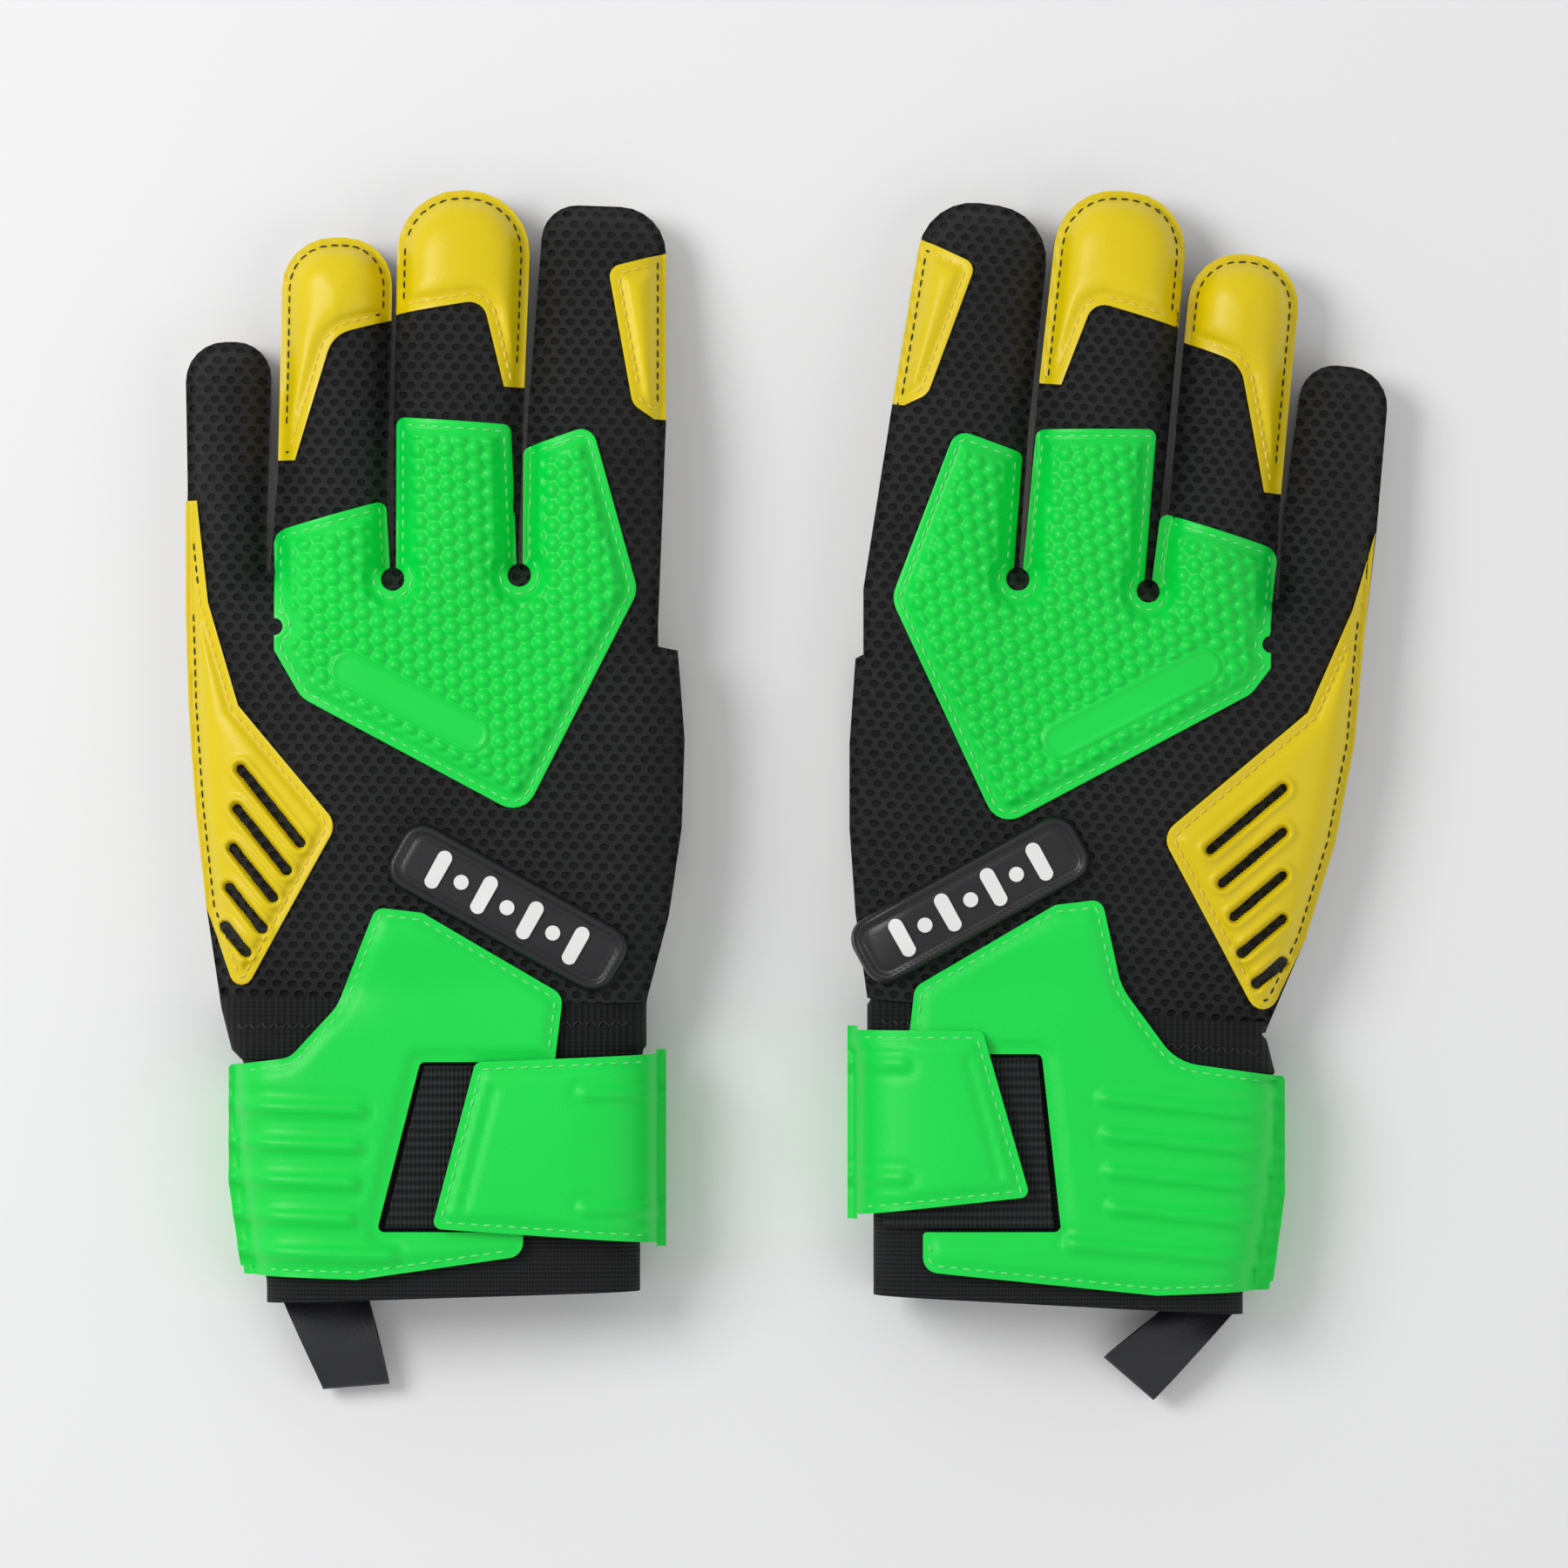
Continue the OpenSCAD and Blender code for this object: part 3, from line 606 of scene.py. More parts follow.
def ribbed(name, colour, light, pitch, across=0, depth=0.35, roughness=0.8, cross=0.0):
    """Knitted or woven cloth with ribs along one axis and a weave across it. Its colour is lighter on the rib
    and weave crests as a painted highlight and darker in the troughs as painted shade, with fuzz adding
    random tone.
    """
    mat, tree, bsdf = shader(name, colour, roughness, Specular_IOR_Level=0.25)
    place = object_place(tree)
    parts = node(tree, "ShaderNodeSeparateXYZ")
    tree.links.new(place, parts.inputs[0])
    rib = maths(tree, "SINE", maths(tree, "MULTIPLY", parts.outputs[across], 2 * math.pi / (pitch * MM)))
    other = parts.outputs[1 - across]
    weave = maths(tree, "SINE", maths(tree, "MULTIPLY", other, 2 * math.pi / ((cross or pitch * 0.7) * MM)))
    fuzz = grain(tree, place, 1900, 3.0, 0.7)
    height = maths(tree, "ADD", maths(tree, "MULTIPLY", rib, 0.5), maths(tree, "MULTIPLY", weave, 0.3))
    height = maths(tree, "ADD", height, maths(tree, "MULTIPLY", fuzz, 0.7))
    # Painted light: the colour follows the relief's height. The second colour is a painted highlight on the
    # crests and the first is painted shade in the troughs.
    shade(tree, bsdf, maths(tree, "ADD", maths(tree, "MULTIPLY", height, 0.45), 0.3), colour, light)
    bump(tree, bsdf, height, depth * MM, 0.8)
    return mat


GREEN, YELLOW = (0.0, 0.74, 0.07), (0.79, 0.61, 0.001)
MESH = {side: spacer_mesh(f"{side}_spacer_mesh", LEAN[side]) for side in SIDES}
PUNCH_PU = grained("green_punch_pu", GREEN, (0.0, 0.62, 0.055), 0.40, 1500, 26, 0.12 * MM,
                   Specular_IOR_Level=0.35)
WRAP_PU = grained("green_wrap_pu", GREEN, (0.0, 0.64, 0.058), 0.44, 1500, 22, 0.15 * MM,
                  Specular_IOR_Level=0.35)
YELLOW_PU = grained("yellow_pad_pu", YELLOW, (0.66, 0.50, 0.001), 0.36, 1500, 24, 0.12 * MM,
                    Specular_IOR_Level=0.35)
LATEX = grained("white_latex", (0.80, 0.78, 0.70), (0.66, 0.63, 0.55), 0.75, 900, 40, 0.3 * MM)
RUBBER = grained("badge_rubber", (0.010, 0.010, 0.012), (0.006, 0.006, 0.008), 0.38, 1400, 30, 0.1 * MM)
MARK = grained("white_marks", (0.82, 0.82, 0.81), (0.74, 0.74, 0.73), 0.5, 1500, 60, 0.08 * MM)
GUSSET = grained("gusset_cloth", (0.016, 0.016, 0.018), (0.004, 0.004, 0.005), 0.55, 1300, 70, 0.4 * MM,
                 Specular_IOR_Level=0.4)
COATED = grained("coated_band", (0.016, 0.017, 0.022), (0.008, 0.008, 0.011), 0.42, 1000, 60, 0.2 * MM)
# Each ribbed cloth's second colour is the painted highlight on its crests; its troughs get the first colour
# as painted shade.
ELASTIC = ribbed("cuff_elastic", (0.002, 0.002, 0.0025), (0.024, 0.024, 0.027), 1.1, 1, 0.4)
BAND_ELASTIC = ribbed("band_elastic", (0.0015, 0.0015, 0.002), (0.014, 0.014, 0.016), 1.6, 0, 0.35)
WEBBING = ribbed("loop_webbing", (0.002, 0.002, 0.0025), (0.032, 0.032, 0.036), 2.2, 1, 0.6, 0.75, 1.1)
HOOKS = ribbed("hook_tape", (0.004, 0.004, 0.005), (0.030, 0.030, 0.032), 1.2, 0, 0.6, 0.6)
THREAD = {name: grained(f"{name}_thread", colour, dark, 0.6, 3000, 200, 0.1 * MM)
          for name, colour, dark in (("black", (0.012, 0.012, 0.013), (0.006, 0.006, 0.006)),
                                     ("green", (0.16, 0.84, 0.25), (0.08, 0.72, 0.14)),
                                     ("yellow", (0.86, 0.68, 0.10), (0.72, 0.52, 0.04)))}


# ---------------------------------------------------------------- baking the transforms of the hand's and the fingers' pieces


def over_knuckles(piece):
    """Bakes the transform of a piece that lies between the hand and the finger roots into its mesh."""
    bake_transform(piece)


def over_crease(piece):
    """Bakes the transform of a piece that lies between the finger roots and one finger's end into its mesh.
    """
    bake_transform(piece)


def place_part(piece, part):
    """Bakes the transform of the hand's share of a layer, and of a finger's share, into its mesh."""
    if part == "hand":
        over_knuckles(piece)
    else:
        over_crease(piece)


# ---------------------------------------------------------------- the soft shell

def make_backs(glove):
    """The black mesh back, sunk a little under the pads."""
    grid = gridded(glove.plan.copy(), 1.7)
    for part, bm in split(glove, grid).items():
        slab(bm, lambda p: glove.back(p) - PAD_BED * glove.under_pads(p), lambda p: glove.back(p) - BACK_WALL)
        piece = finished(bm, f"{glove.side}_{part}_mesh_back", MESH[glove.side])
        place_part(piece, part)
        if part == "hand":
            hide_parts(f"{glove.side}_hand_back", f"{glove.side}_knuckle_back")
        else:
            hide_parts(f"{glove.side}_{part}_back")


def make_palms(glove):
    """The white latex palm."""
    grid = gridded(glove.plan.copy(), 2.6)
    for part, bm in split(glove, grid).items():
        slab(bm, lambda p: glove.palm(p) + PALM_WALL, glove.palm)
        piece = finished(bm, f"{glove.side}_{part}_latex", LATEX)
        place_part(piece, part)
        if part == "hand":
            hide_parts(f"{glove.side}_hand_palm", f"{glove.side}_knuckle_palm")
        else:
            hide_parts(f"{glove.side}_{part}_palm")


def make_gussets(glove):
    """A strip of black cloth between the back's edge and the palm's edge."""
    bm = glove.plan.copy()
    rim = bmesh.ops.inset_region(bm, faces=bm.faces[:], thickness=1.5, use_boundary=True,
                                 use_even_offset=True)["faces"]
    bmesh.ops.delete(bm, geom=rim, context="FACES")
    bmesh.ops.delete(bm, geom=bm.faces[:], context="FACES_ONLY")
    for _ in range(5):
        bmesh.ops.subdivide_edges(bm, edges=[e for e in bm.edges if e.calc_length() > 3.2], cuts=1)
    ring = bm.edges[:]
    rows = [bm.verts[:]]
    for _ in range(GUSSET_ROWS):
        made = bmesh.ops.extrude_edge_only(bm, edges=ring)["geom"]
        ring = [g for g in made if isinstance(g, bmesh.types.BMEdge)]
        rows.append([g for g in made if isinstance(g, bmesh.types.BMVert)])
    for i, row in enumerate(rows):
        t = i / GUSSET_ROWS
        p = xy(row)
        top = glove.seam(p) + GUSSET_HALF + 0.2
        bottom = np.maximum(glove.seam(p) - GUSSET_HALF, 0.4) + 0.4
        for v, z0, z1 in zip(row, bottom, top):
            v.co.z = z0 + (z1 - z0) * t
    in_cuff = [f for f in bm.faces if f.calc_center_median().y < WRIST_Y + 1]
    bmesh.ops.delete(bm, geom=in_cuff, context="FACES")
    face_out(bm)
    for part, strip in split(glove, bm).items():
        bmesh.ops.solidify(strip, geom=strip.faces[:], thickness=0.9)
        face_out(strip)
        piece = finished(strip, f"{glove.side}_{part}_gusset", GUSSET)
        place_part(piece, part)
        if part == "hand":
            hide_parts(f"{glove.side}_hand_gusset")


# ---------------------------------------------------------------- panels on the back

def panel_height(glove, shape, thickness, flange, swell, roundness=3.0, lift=0.0, extra=None):
    """A padded panel: a flat stitched flange round a raised field."""
    a, b = edges_of(outline(shape))

    def height(p):
        d = distance(p, a, b)
        z = glove.skin(p, lift) + thickness * quarter((d + 0.5) / 1.1)
        seam_dip = 0.35 * ridge(d - flange * 0.65, 0.9)
        z += swell * quarter((d - flange) / roundness) - seam_dip
        return z + (extra(p, d) if extra else 0)
    return height


def studs(p, centre, turn):
    """Columns of round studs, each column half a pitch off its neighbours."""
    c, s = math.cos(turn), math.sin(turn)
    q = (p - centre) @ np.array([[c, -s], [s, c]])
    best = np.zeros(len(p))
    for step in (-1, 0, 1):
        k = np.round(q[:, 0] / STUD_COLUMN) + step
        y = q[:, 1] - np.where(np.mod(k, 2) > 0.5, STUD_PITCH / 2, 0)
        dy = y - np.round(y / STUD_PITCH) * STUD_PITCH
        near = np.hypot(q[:, 0] - k * STUD_COLUMN, dy) / STUD_RADIUS
        best = np.maximum(best, np.clip(1 - near ** 2, 0, 1))
    return best


def capsule(p, a, b):
    """Distance to a straight line from a to b."""
    a, b = np.array(a, float), np.array(b, float)
    return distance(p, [a], [b])


def make_punch_panel(glove):
    """The green panel over the knuckles: rows of studs round a blank plaque."""
    side = glove.side
    shape = still(side, "punch_panel", "punch_lobes")
    centre = outline(shape).mean(axis=0)
    hip, point = corner(outline(shape), (-glove.inward, -1)), corner(outline(shape), (0, -1))
    run = point - hip
    up = np.array([-run[1], run[0]]) * glove.inward / np.hypot(*run)
    plaque = (hip + 0.12 * run + 11.5 * up, hip + 0.7 * run + 11.5 * up)
    turn = -math.atan2(glove.across[1], glove.across[0])

    def relief(p, d):
        near = capsule(p, *plaque)
        rows = STUD_HEIGHT * studs(p, centre, turn) * smooth((d - 3.6) / 1.2) * smooth((near - 4.8) / 0.9)
        rim = 1.1 * ridge(near - PLAQUE_HALF, 0.55)
        return rows + rim + 0.5 * smooth((3.8 - near) / 0.8)

    height = panel_height(glove, shape, thickness=0.9, flange=3.0, swell=1.1, extra=relief)
    grid = halved(gridded(shape.copy(), 1.1))
    slab(grid, height, lambda p: glove.skin(p) - 0.4)
    piece = finished(grid, f"{side}_punch_panel_pad", PUNCH_PU)
    over_knuckles(piece)
    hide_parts(f"{side}_punch_panel", f"{side}_punch_lobes")
    at, way = seam_line(shape, GREEN_INSET, GREEN_STEP)
    row = stitch_row(at, way, height, f"{side}_punch_stitches", THREAD["green"])
    over_knuckles(row)


def two_threads(glove, shape, height, name):
    """Stitches round a yellow pad: black along the glove's edge, yellow elsewhere."""
    at, way = seam_line(shape, YELLOW_INSET, YELLOW_STEP)
    outer = glove.edge(at) < OUTER_RIM
    rows = [stitch_row(at[which], way[which], height, f"{name}_{thread}_stitches", THREAD[thread])
            for thread, which in (("black", outer), ("yellow", ~outer)) if which.any()]
    return rows


def side_slots(side):
    """The five cut-outs of the side panel, read from the CAD panel's holes."""
    longest_reach = 16
    bm = node_mesh(f"{side}_side_panel")
    level = [f for f in bm.faces if abs(f.normal.z) >= 0.3]
    bmesh.ops.delete(bm, geom=level, context="FACES_ONLY")
    slots = []
    for part in islands(bm):
        pts = np.array([v.co[:2] for i in part for v in bm.faces[i].verts])
        far = pts[np.argmax(np.hypot(*(pts - pts.mean(axis=0)).T))]
        span = far - pts.mean(axis=0)
        if np.hypot(*span) < longest_reach:
            reach = span * (1 - SLOT_HALF / np.hypot(*span))
            slots.append((pts.mean(axis=0) - reach, pts.mean(axis=0) + reach))
    bm.free()
    return slots


def make_side_panel(glove):
    """The yellow pad on the pinky side, with a raised rim round each cut-out."""
    side = glove.side
    shape = still(side, "side_panel", "side_strip")
    slots = side_slots(side)

    def relief(p, d):
        z = np.zeros(len(p))
        for a, b in slots:
            near = capsule(p, a, b)
            z += 0.9 * ridge(near - 2.5, 0.7) - 2.6 * smooth((1.9 - near) / 0.9)
        return z

    height = panel_height(glove, shape, thickness=0.8, flange=3.2, swell=1.7, roundness=5.0, extra=relief)
    grid = halved(gridded(shape.copy(), 1.2))
    slab(grid, height, lambda p: glove.skin(p) - 1.2)
    piece = finished(grid, f"{side}_side_pad", YELLOW_PU)
    over_knuckles(piece)
    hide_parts(f"{side}_side_panel", f"{side}_side_strip")
    for row in two_threads(glove, shape, height, f"{side}_side"):
        over_knuckles(row)
    make_slot_inlays(glove, slots)


def make_slot_inlays(glove, slots):
    """Black mesh showing at the bottom of the side panel's cut-outs."""
    bm = bmesh.new()
    for a, b in slots:
        way = b - a
        long = np.hypot(*way)
        middle = (a + b) / 2
        made = bmesh.ops.create_circle(bm, segments=24, radius=1.45, cap_ends=True)["verts"]
        for v in made:
            v.co.x += math.copysign(long / 2, v.co.x)
        turn = Matrix.Translation((*middle, 0)) @ Matrix.Rotation(math.atan2(way[1], way[0]), 4, "Z")
        bmesh.ops.transform(bm, matrix=turn, verts=made)
    gridded(bm, 1.2)
    slab(bm, lambda p: glove.skin(p) + 0.55, lambda p: glove.skin(p) - 0.6)
    piece = finished(bm, f"{glove.side}_slot_mesh", MESH[glove.side])
    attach(piece, f"{glove.side}_hand")


def make_cap(glove, finger, node_name):
    """A yellow pad on a finger's end."""
    shape = plan([(f"{glove.side}_{node_name}", f"{glove.side}_{finger}_bend")])
    height = panel_height(glove, shape, thickness=0.8, flange=3.3, swell=1.9, roundness=5.5)
    grid = gridded(shape.copy(), 0.8)
    slab(grid, height, lambda p: glove.skin(p) - 0.6)
    piece = finished(grid, f"{glove.side}_{finger}_pad", YELLOW_PU)
    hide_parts(f"{glove.side}_{node_name}")
    rows = two_threads(glove, shape, height, f"{glove.side}_{finger}")
    for part in [piece] + rows:
        over_crease(part)


def make_badge(glove):
    """The black rubber bar across the wrist, with a raised border."""
    side = glove.side
    shape = still(side, "badge")
    a, b = edges_of(outline(shape))
    middle = outline(shape).mean(axis=0)

    def bed(p):
        """The skin under the stiff plate, which bends less than the mesh does at the glove's edge."""
        return glove.skin(middle + (p - middle) * 0.86)

    def height(p):
        d = distance(p, a, b)
        border = 1.0 * ridge(d - 1.5, 0.6)
        groove = 0.5 * ridge(d - 3.0, 0.6)
        rim = 1.2 * smooth(d / 0.5) + border - groove
        return bed(p) + 0.9 + rim

    grid = gridded(shape.copy(), 0.7)
    slab(grid, height, lambda p: bed(p) - 0.6)
    piece = finished(grid, f"{side}_badge_plate", RUBBER)
    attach(piece, f"{side}_hand")
    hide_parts(f"{side}_badge")
    make_badge_marks(glove, shape, height)


def make_badge_marks(glove, shape, height):
    """Plain white bars and dots, as a generic mark."""
    loop = outline(shape)
    middle = loop.mean(axis=0)
    _, _, vt = np.linalg.svd(loop - middle)
    way = vt[0] * np.sign(vt[0][0])
    bar_half = 5.2
    bm = bmesh.new()
    for i in range(MARK_COUNT):
        at = middle + way * (i - MARK_COUNT // 2) * MARK_PITCH
        made = bmesh.ops.create_circle(bm, segments=20, radius=MARK_RADIUS, cap_ends=True)["verts"]
        is_bar = i % 2 == 0
        for v in made:
            v.co.y += math.copysign(bar_half - MARK_RADIUS, v.co.y) if is_bar else 0
        place = Matrix.Translation((*at, 0)) @ Matrix.Rotation(math.atan2(way[1], way[0]), 4, "Z")
        bmesh.ops.transform(bm, matrix=place, verts=made)
    gridded(bm, 1.3)
    slab(bm, lambda p: height(p) + 0.75, lambda p: height(p) - 0.5)
    piece = finished(bm, f"{glove.side}_badge_marks", MARK)
    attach(piece, f"{glove.side}_hand")


# ---------------------------------------------------------------- wrist, cuff and strap

def tube_rows(points, count, above=0.0, below=0.0):
    """Rows from a tube's upper corners to its lower ones, each (y at low x, y at high x)."""
    start = np.array([corner(points, (-1, 1))[1], corner(points, (1, 1))[1]]) + above
    end = np.array([corner(points, (-1, -1))[1], corner(points, (1, -1))[1]]) - below
    return [tuple(start + (end - start) * i / (count - 1)) for i in range(count)]


def sleeve(glove, rows, low, grow=0.0, wall=1.6, wave=None):
    """A flat oval tube along the wrist, no lower than low, from rows of (y at low x, y at high x)."""
    bm = bmesh.new()
    ring = bmesh.ops.create_circle(bm, segments=144, radius=1)["verts"]
    edges = bm.edges[:]
    stations = [(ring, rows[0])]
    for row in rows[1:]:
        made = bmesh.ops.extrude_edge_only(bm, edges=edges)["geom"]
        edges = [g for g in made if isinstance(g, bmesh.types.BMEdge)]
        new = [g for g in made if isinstance(g, bmesh.types.BMVert)]
        stations.append((new, row))
    for verts, (y0, y1) in stations:
        for v in verts:
            angle = math.atan2(v.co.y, v.co.x)
            c, s = math.cos(angle), math.sin(angle)
            lo, hi = glove.sleeve_span(y0)[0], glove.sleeve_span(y1)[1]
            x = (lo + hi) / 2 + ((hi - lo) / 2 + grow) * math.copysign(abs(c) ** (2 / 7), c)
            y = y0 + (y1 - y0) * (x - lo) / (hi - lo)
            z = CUFF_CENTRE_Z + (CUFF_HALF + grow) * math.copysign(abs(s) ** 0.9, s)
            z = max(z, low) if s < 0 else z
            v.co = (x, y, z + (wave(y, z) if wave else 0))
    face_out(bm)
    bmesh.ops.solidify(bm, geom=bm.faces[:], thickness=wall)
    face_out(bm)
    return bm


def make_wrist_band(glove):
    """The ribbed elastic between the hand and the wrap."""
    side = glove.side
    band = outline(still(side, "wrist_band"))
    rows = tube_rows(band, 14, above=2.2, below=1.5)
    bm = sleeve(glove, rows, low=6.2)
    piece = finished(bm, f"{side}_elastic_band", BAND_ELASTIC)
    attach(piece, f"{side}_hand")
    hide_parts(f"{side}_wrist_band")
    make_zigzag(glove, rows)


def make_zigzag(glove, rows):
    """Zigzag stitching round the elastic band's middle."""
    y0, y1 = rows[len(rows) // 2 - 1]
    lo, hi = glove.sleeve_span(y0)
    xs = np.arange(lo + 4, hi - 4, 1.6)
    y_mid = y0 + (y1 - y0) * (xs - lo) / (hi - lo)
    at = np.column_stack([xs, y_mid])
    way = np.array([(1, 1.1) if i % 2 else (1, -1.1) for i in range(len(xs))])
    way = way / np.hypot(*way.T)[:, None]
    piece = stitch_row(at, way, lambda p: glove.sleeve_top(p) + 0.1, f"{glove.side}_band_zigzag",
                       THREAD["black"], length=2.3, width=0.55)
    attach(piece, f"{glove.side}_hand")


def make_cuff(glove):
    """The knitted cuff, drawn in at its hem's seam."""
    side = glove.side
    rows = tube_rows(outline(still(side, "cuff")), 36, above=1.5, below=0.2)
    mouth = sum(rows[-1]) / 2

    def ripple(y, z):
        hem = 0.7 * ridge(y - mouth - 6.5, 0.9)
        return -hem * math.copysign(1, z - CUFF_CENTRE_Z) if abs(z - CUFF_CENTRE_Z) > 5 else 0

    bm = sleeve(glove, rows, low=1.7, grow=-0.6, wave=ripple)
    piece = finished(bm, f"{side}_knitted_cuff", ELASTIC)
    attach(piece, f"{side}_hand")
    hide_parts(f"{side}_cuff")


def wrap_foot(side):
    """The wrap's outline where it lies under the cuff."""
    bm = node_mesh(f"{side}_cuff_wrap")
    pts = xy([v for v in bm.verts if v.co.z < 0.5])
    bm.free()
    return pts


def rib_relief(glove, p):
    """Five ribs round the wrap's pinky side, the last one a little longer."""
    side = glove.side
    patch = outline(still(side, "loop_patch"))
    top = corner(wrap_foot(side), (-glove.inward, 1)) - (0, 8.5)
    long = abs(corner(patch, (-glove.inward, 1))[0] - top[0]) - 16.5
    root, end = top + glove.across * glove.inward * long, top - glove.across * glove.inward * 8
    z = np.zeros(len(p))
    for i in range(RIB_COUNT):
        start = root + (glove.inward * (8 if i == RIB_COUNT - 1 else -0.8 * i), 0)
        near = capsule(p, start - (0, RIB_PITCH * i), end - (0, RIB_PITCH * i))
        z += 1.9 * ridge(near, 1.5) - 0.5 * ridge(near - 3.2, 0.9)
    return z


def make_wrap(glove):
    """The green wrap on the back of the cuff."""
    side = glove.side
    shape = still(side, "cuff_wrap")
    height = panel_height(glove, shape, thickness=0.9, flange=2.4, swell=0.8, roundness=2.4, lift=1.4,
                          extra=lambda p, d: rib_relief(glove, p))
    grid = gridded(shape.copy(), 1.3)
    slab(grid, height, lambda p: glove.skin(p, 0.4))
    piece = finished(grid, f"{side}_wrap_panel", WRAP_PU)
    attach(piece, f"{side}_hand")
    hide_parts(f"{side}_cuff_wrap")
    at, way = seam_line(shape, GREEN_INSET, GREEN_STEP)
    window = edges_of(outline(still(side, "loop_patch")))
    lo, hi = glove.sleeve_span(at[:, 1])
    sewn = (distance(at, *window) > 4.5) & (at[:, 0] > lo + 1) & (at[:, 0] < hi - 1)
    row = stitch_row(at[sewn], way[sewn], height, f"{side}_wrap_stitches", THREAD["green"])
    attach(row, f"{side}_hand")
    make_wrap_under(glove)


def make_wrap_under(glove):
    """The part of the wrap that runs round the pinky side and under the cuff to the strap."""
    side = glove.side
    rows = tube_rows(wrap_foot(side), 32)
    bm = sleeve(glove, rows, low=0.2, grow=2.6, wall=1.4)
    top = [f for f in bm.faces if f.calc_center_median().z > CUFF_CENTRE_Z + 0.5]
    bmesh.ops.delete(bm, geom=top, context="FACES")
    open_edges = [e for e in bm.edges if e.is_boundary]
    bmesh.ops.holes_fill(bm, edges=open_edges, sides=0)
    piece = finished(bm, f"{side}_wrap_under", WRAP_PU)
    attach(piece, f"{side}_hand")


def make_loop_patch(glove):
    """The loop tape in the wrap's window."""
    side = glove.side
    shape = still(side, "loop_patch")
    grid = gridded(shape.copy(), 1.6)
    slab(grid, lambda p: glove.skin(p) + 1.3, lambda p: glove.skin(p) - 0.4)
    piece = finished(grid, f"{side}_webbing_patch", WEBBING)
    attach(piece, f"{side}_hand")
    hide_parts(f"{side}_loop_patch")


def make_strap(glove):
    """The green strap, with two ribs, a bevelled free end and hook tape under it."""
    side = glove.side
    shape = still(side, "strap")
    inward, loop = glove.inward, outline(shape)
    top, foot = corner(loop, (-inward, 2)), corner(loop, (-inward, -2))
    fold = np.array([corner(loop, (inward, 0))[0] + 6 * inward, 0])
    ribs = [(np.array([(top[0] + fold[0]) / 2, y]), fold + (0, y)) for y in (top[1] - 8, foot[1] + 5)]
    bevel = (top + (3.5 * inward, -6.5), foot + (6 * inward, 5))
    hook_lift = 3.4

    def relief(p, d):
        z = np.zeros(len(p))
        for a, b in ribs:
            near = capsule(p, a, b)
            z += 1.2 * ridge(near, 1.4) - 0.6 * ridge(near - 2.9, 0.9)
        z -= 1.1 * ridge(capsule(p, *bevel), 1.0)
        return z

    height = panel_height(glove, shape, thickness=0.9, flange=2.8, swell=1.0, roundness=2.5, lift=4.2,
                          extra=relief)
    grid = gridded(shape.copy(), 1.2)
    slab(grid, height, lambda p: glove.skin(p, hook_lift))
    piece = finished(grid, f"{side}_strap_tab", WRAP_PU)
    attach(piece, f"{side}_strap_end")
    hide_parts(f"{side}_strap")
    at, way = seam_line(shape, GREEN_INSET, GREEN_STEP)
    lo, hi = glove.sleeve_span(at[:, 1])
    sewn = (at[:, 0] > lo - 1) & (at[:, 0] < hi + 1)
    row = stitch_row(at[sewn], way[sewn], height, f"{side}_strap_stitches", THREAD["green"])
    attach(row, f"{side}_strap_end")
    hook = gridded(still(side, "hook_patch"), 1.5)
    slab(hook, lambda p: glove.skin(p, hook_lift) + 0.2, lambda p: glove.skin(p, hook_lift) - 0.8)
    piece = finished(hook, f"{side}_hook_tape", HOOKS)
    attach(piece, f"{side}_strap_end")
    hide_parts(f"{side}_hook_patch")


# ---------------------------------------------------------------- thumb and pull loop

def make_thumb(glove):
    """The thumb folded flat under the palm: its back below, its latex above."""
    side = glove.side
    shape = still(side, "thumb_back")
    a, b = edges_of(outline(shape))
    root_x = corner(outline(shape), (glove.inward, 0))[0]
    keep = np.abs(a[:, 0] - root_x) + np.abs(b[:, 0] - root_x) > 1.5
    a, b = a[keep], b[keep]
    seam_z, roundness = 5.4, 9
    layers = (
        ("latex", LATEX, "thumb_palm", "palm_latex",
         lambda d: 6.2 + 3.6 * quarter(d / roundness), lambda d: seam_z + 0 * d),
        ("mesh_back", MESH[side], "thumb_back", "back_mesh",
         lambda d: seam_z + 0 * d, lambda d: 4.4 - 4.1 * quarter(d / roundness)),
    )
    for word, finish, cad, slot, top, bottom in layers:
        grid = gridded(shape.copy(), 1.8)
        slab(grid, lambda p: top(distance(p, a, b)), lambda p: bottom(distance(p, a, b)))
        piece = finished(grid, f"{side}_thumb_{word}", finish)
        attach(piece, f"{side}_thumb")
        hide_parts(f"{side}_{cad}")


def loop_corners(side):
    """The four corners of the pull loop's plan: root left and right, tip left and right."""
    bm = node_mesh(f"{side}_pull_loop")
    pts = xy(bm.verts)
    bm.free()
    root = pts[pts[:, 1] > pts[:, 1].max() - 1]
    left, right = root[np.argmin(root[:, 0])], root[np.argmax(root[:, 0])]
    lowest = pts[np.argmin(pts[:, 1])]
    furthest = pts[np.argmax(np.abs(pts[:, 0] - left[0]) - pts[:, 1])]
    along = lowest * 0.5 + furthest * 0.5
    along = along - (left + right) / 2
    along /= np.hypot(*along)
    across = np.array([-along[1], along[0]])
    tip_left = pts[np.argmax(pts @ (along - across))]
    tip_right = pts[np.argmax(pts @ (along + across))]
    return left, right, tip_left, tip_right


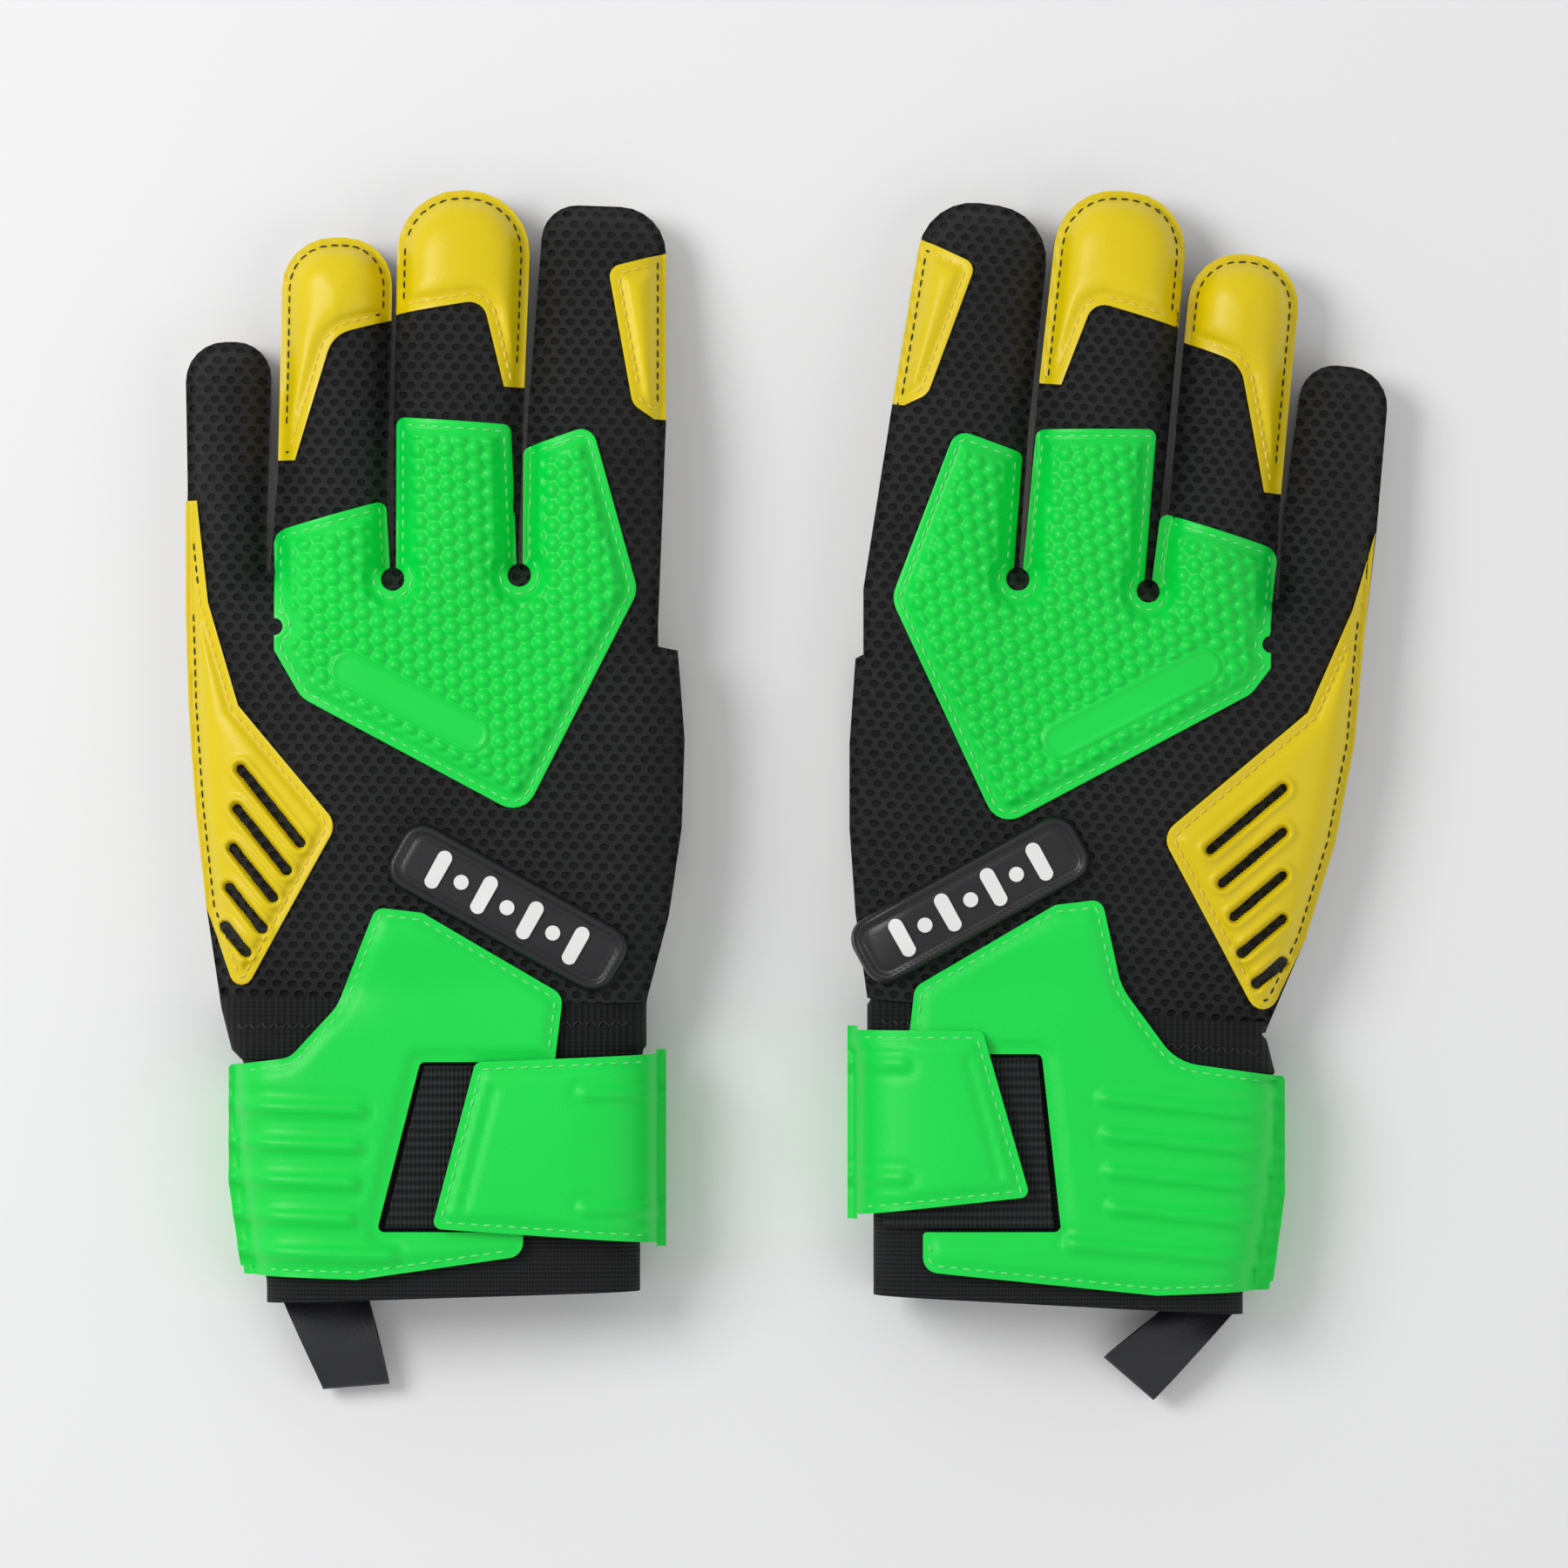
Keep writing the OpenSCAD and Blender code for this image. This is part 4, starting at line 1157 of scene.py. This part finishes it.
def make_pull_loop(glove):
    """A band folded back on itself and sewn into the cuff's hem."""
    side = glove.side
    left, right, tip_left, tip_right = loop_corners(side)
    bm = bmesh.new()
    bmesh.ops.create_grid(bm, x_segments=10, y_segments=56, size=0.5)
    for v in bm.verts:
        u, t = v.co.x + 0.5, v.co.y + 0.5
        out = math.sin(math.pi * t) ** 0.75
        p = (left * (1 - u) + right * u) * (1 - out) + (tip_left * (1 - u) + tip_right * u) * out
        open_by = 1.0 + 2.4 * math.sin(math.pi * min(out, 1)) ** 0.8 + 1.6 * out ** 3
        curl = 0.5 * math.sin(5 * u + 3 * out)
        z = 5.4 + math.cos(math.pi * t) * open_by + curl * (1 - out)
        sink = (1 - out) * 4.5
        v.co = (p[0], p[1] + sink, max(z, 0.3))
    face_out(bm)
    bmesh.ops.solidify(bm, geom=bm.faces[:], thickness=0.9)
    face_out(bm)
    piece = finished(bm, f"{side}_pull_band", COATED)
    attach(piece, f"{side}_loop")
    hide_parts(f"{side}_pull_loop")


# ---------------------------------------------------------------- stage

def area_light(name, place, size, power):
    """A soft round lamp aimed at the gloves."""
    data = bpy.data.lights.new(name, "AREA")
    data.shape = "DISK"
    data.size = size
    data.energy = power
    lamp = bpy.data.objects.new(name, data)
    bpy.context.collection.objects.link(lamp)
    lamp.location = place
    lamp.rotation_euler = (-Vector(place)).to_track_quat("-Z", "Y").to_euler()


def make_stage():
    """A pale floor, soft lamps and a camera looking straight down."""
    bm = bmesh.new()
    bmesh.ops.create_grid(bm, x_segments=1, y_segments=1, size=3000)
    floor_mat, _, _ = shader("pale_floor", (0.84, 0.84, 0.85), 0.9)
    floor = finished(bm, "floor", floor_mat)
    scene = bpy.context.scene
    view_width, lens_height, sensor_width = 0.396, 3.0, 36
    data = bpy.data.cameras.new("camera")
    data.lens = sensor_width * lens_height / view_width
    data.clip_end = 20
    camera = bpy.data.objects.new("camera", data)
    bpy.context.collection.objects.link(camera)
    camera.location = (-0.0008, 0.0013, lens_height + 0.03)
    scene.camera = camera
    world = bpy.data.worlds.new("studio")
    world.use_nodes = True
    world.node_tree.nodes["Background"].inputs[0].default_value = (1, 1, 1, 1)
    world.node_tree.nodes["Background"].inputs[1].default_value = 0.58
    scene.world = world
    scene.view_settings.view_transform = "Standard"
    area_light("window", (-1.1, 0.5, 1.3), size=0.9, power=16)
    area_light("fill", (1.3, -0.6, 1.5), size=1.4, power=4)


make_stage()
for side in SIDES:
    glove = Glove(side)
    make_backs(glove)
    make_palms(glove)
    make_gussets(glove)
    make_punch_panel(glove)
    make_side_panel(glove)
    make_cap(glove, "middle", "middle_cap")
    make_cap(glove, "ring", "ring_cap")
    make_cap(glove, "index", "index_patch")
    make_badge(glove)
    make_wrist_band(glove)
    make_cuff(glove)
    make_wrap(glove)
    make_loop_patch(glove)
    make_strap(glove)
    make_thumb(glove)
    make_pull_loop(glove)
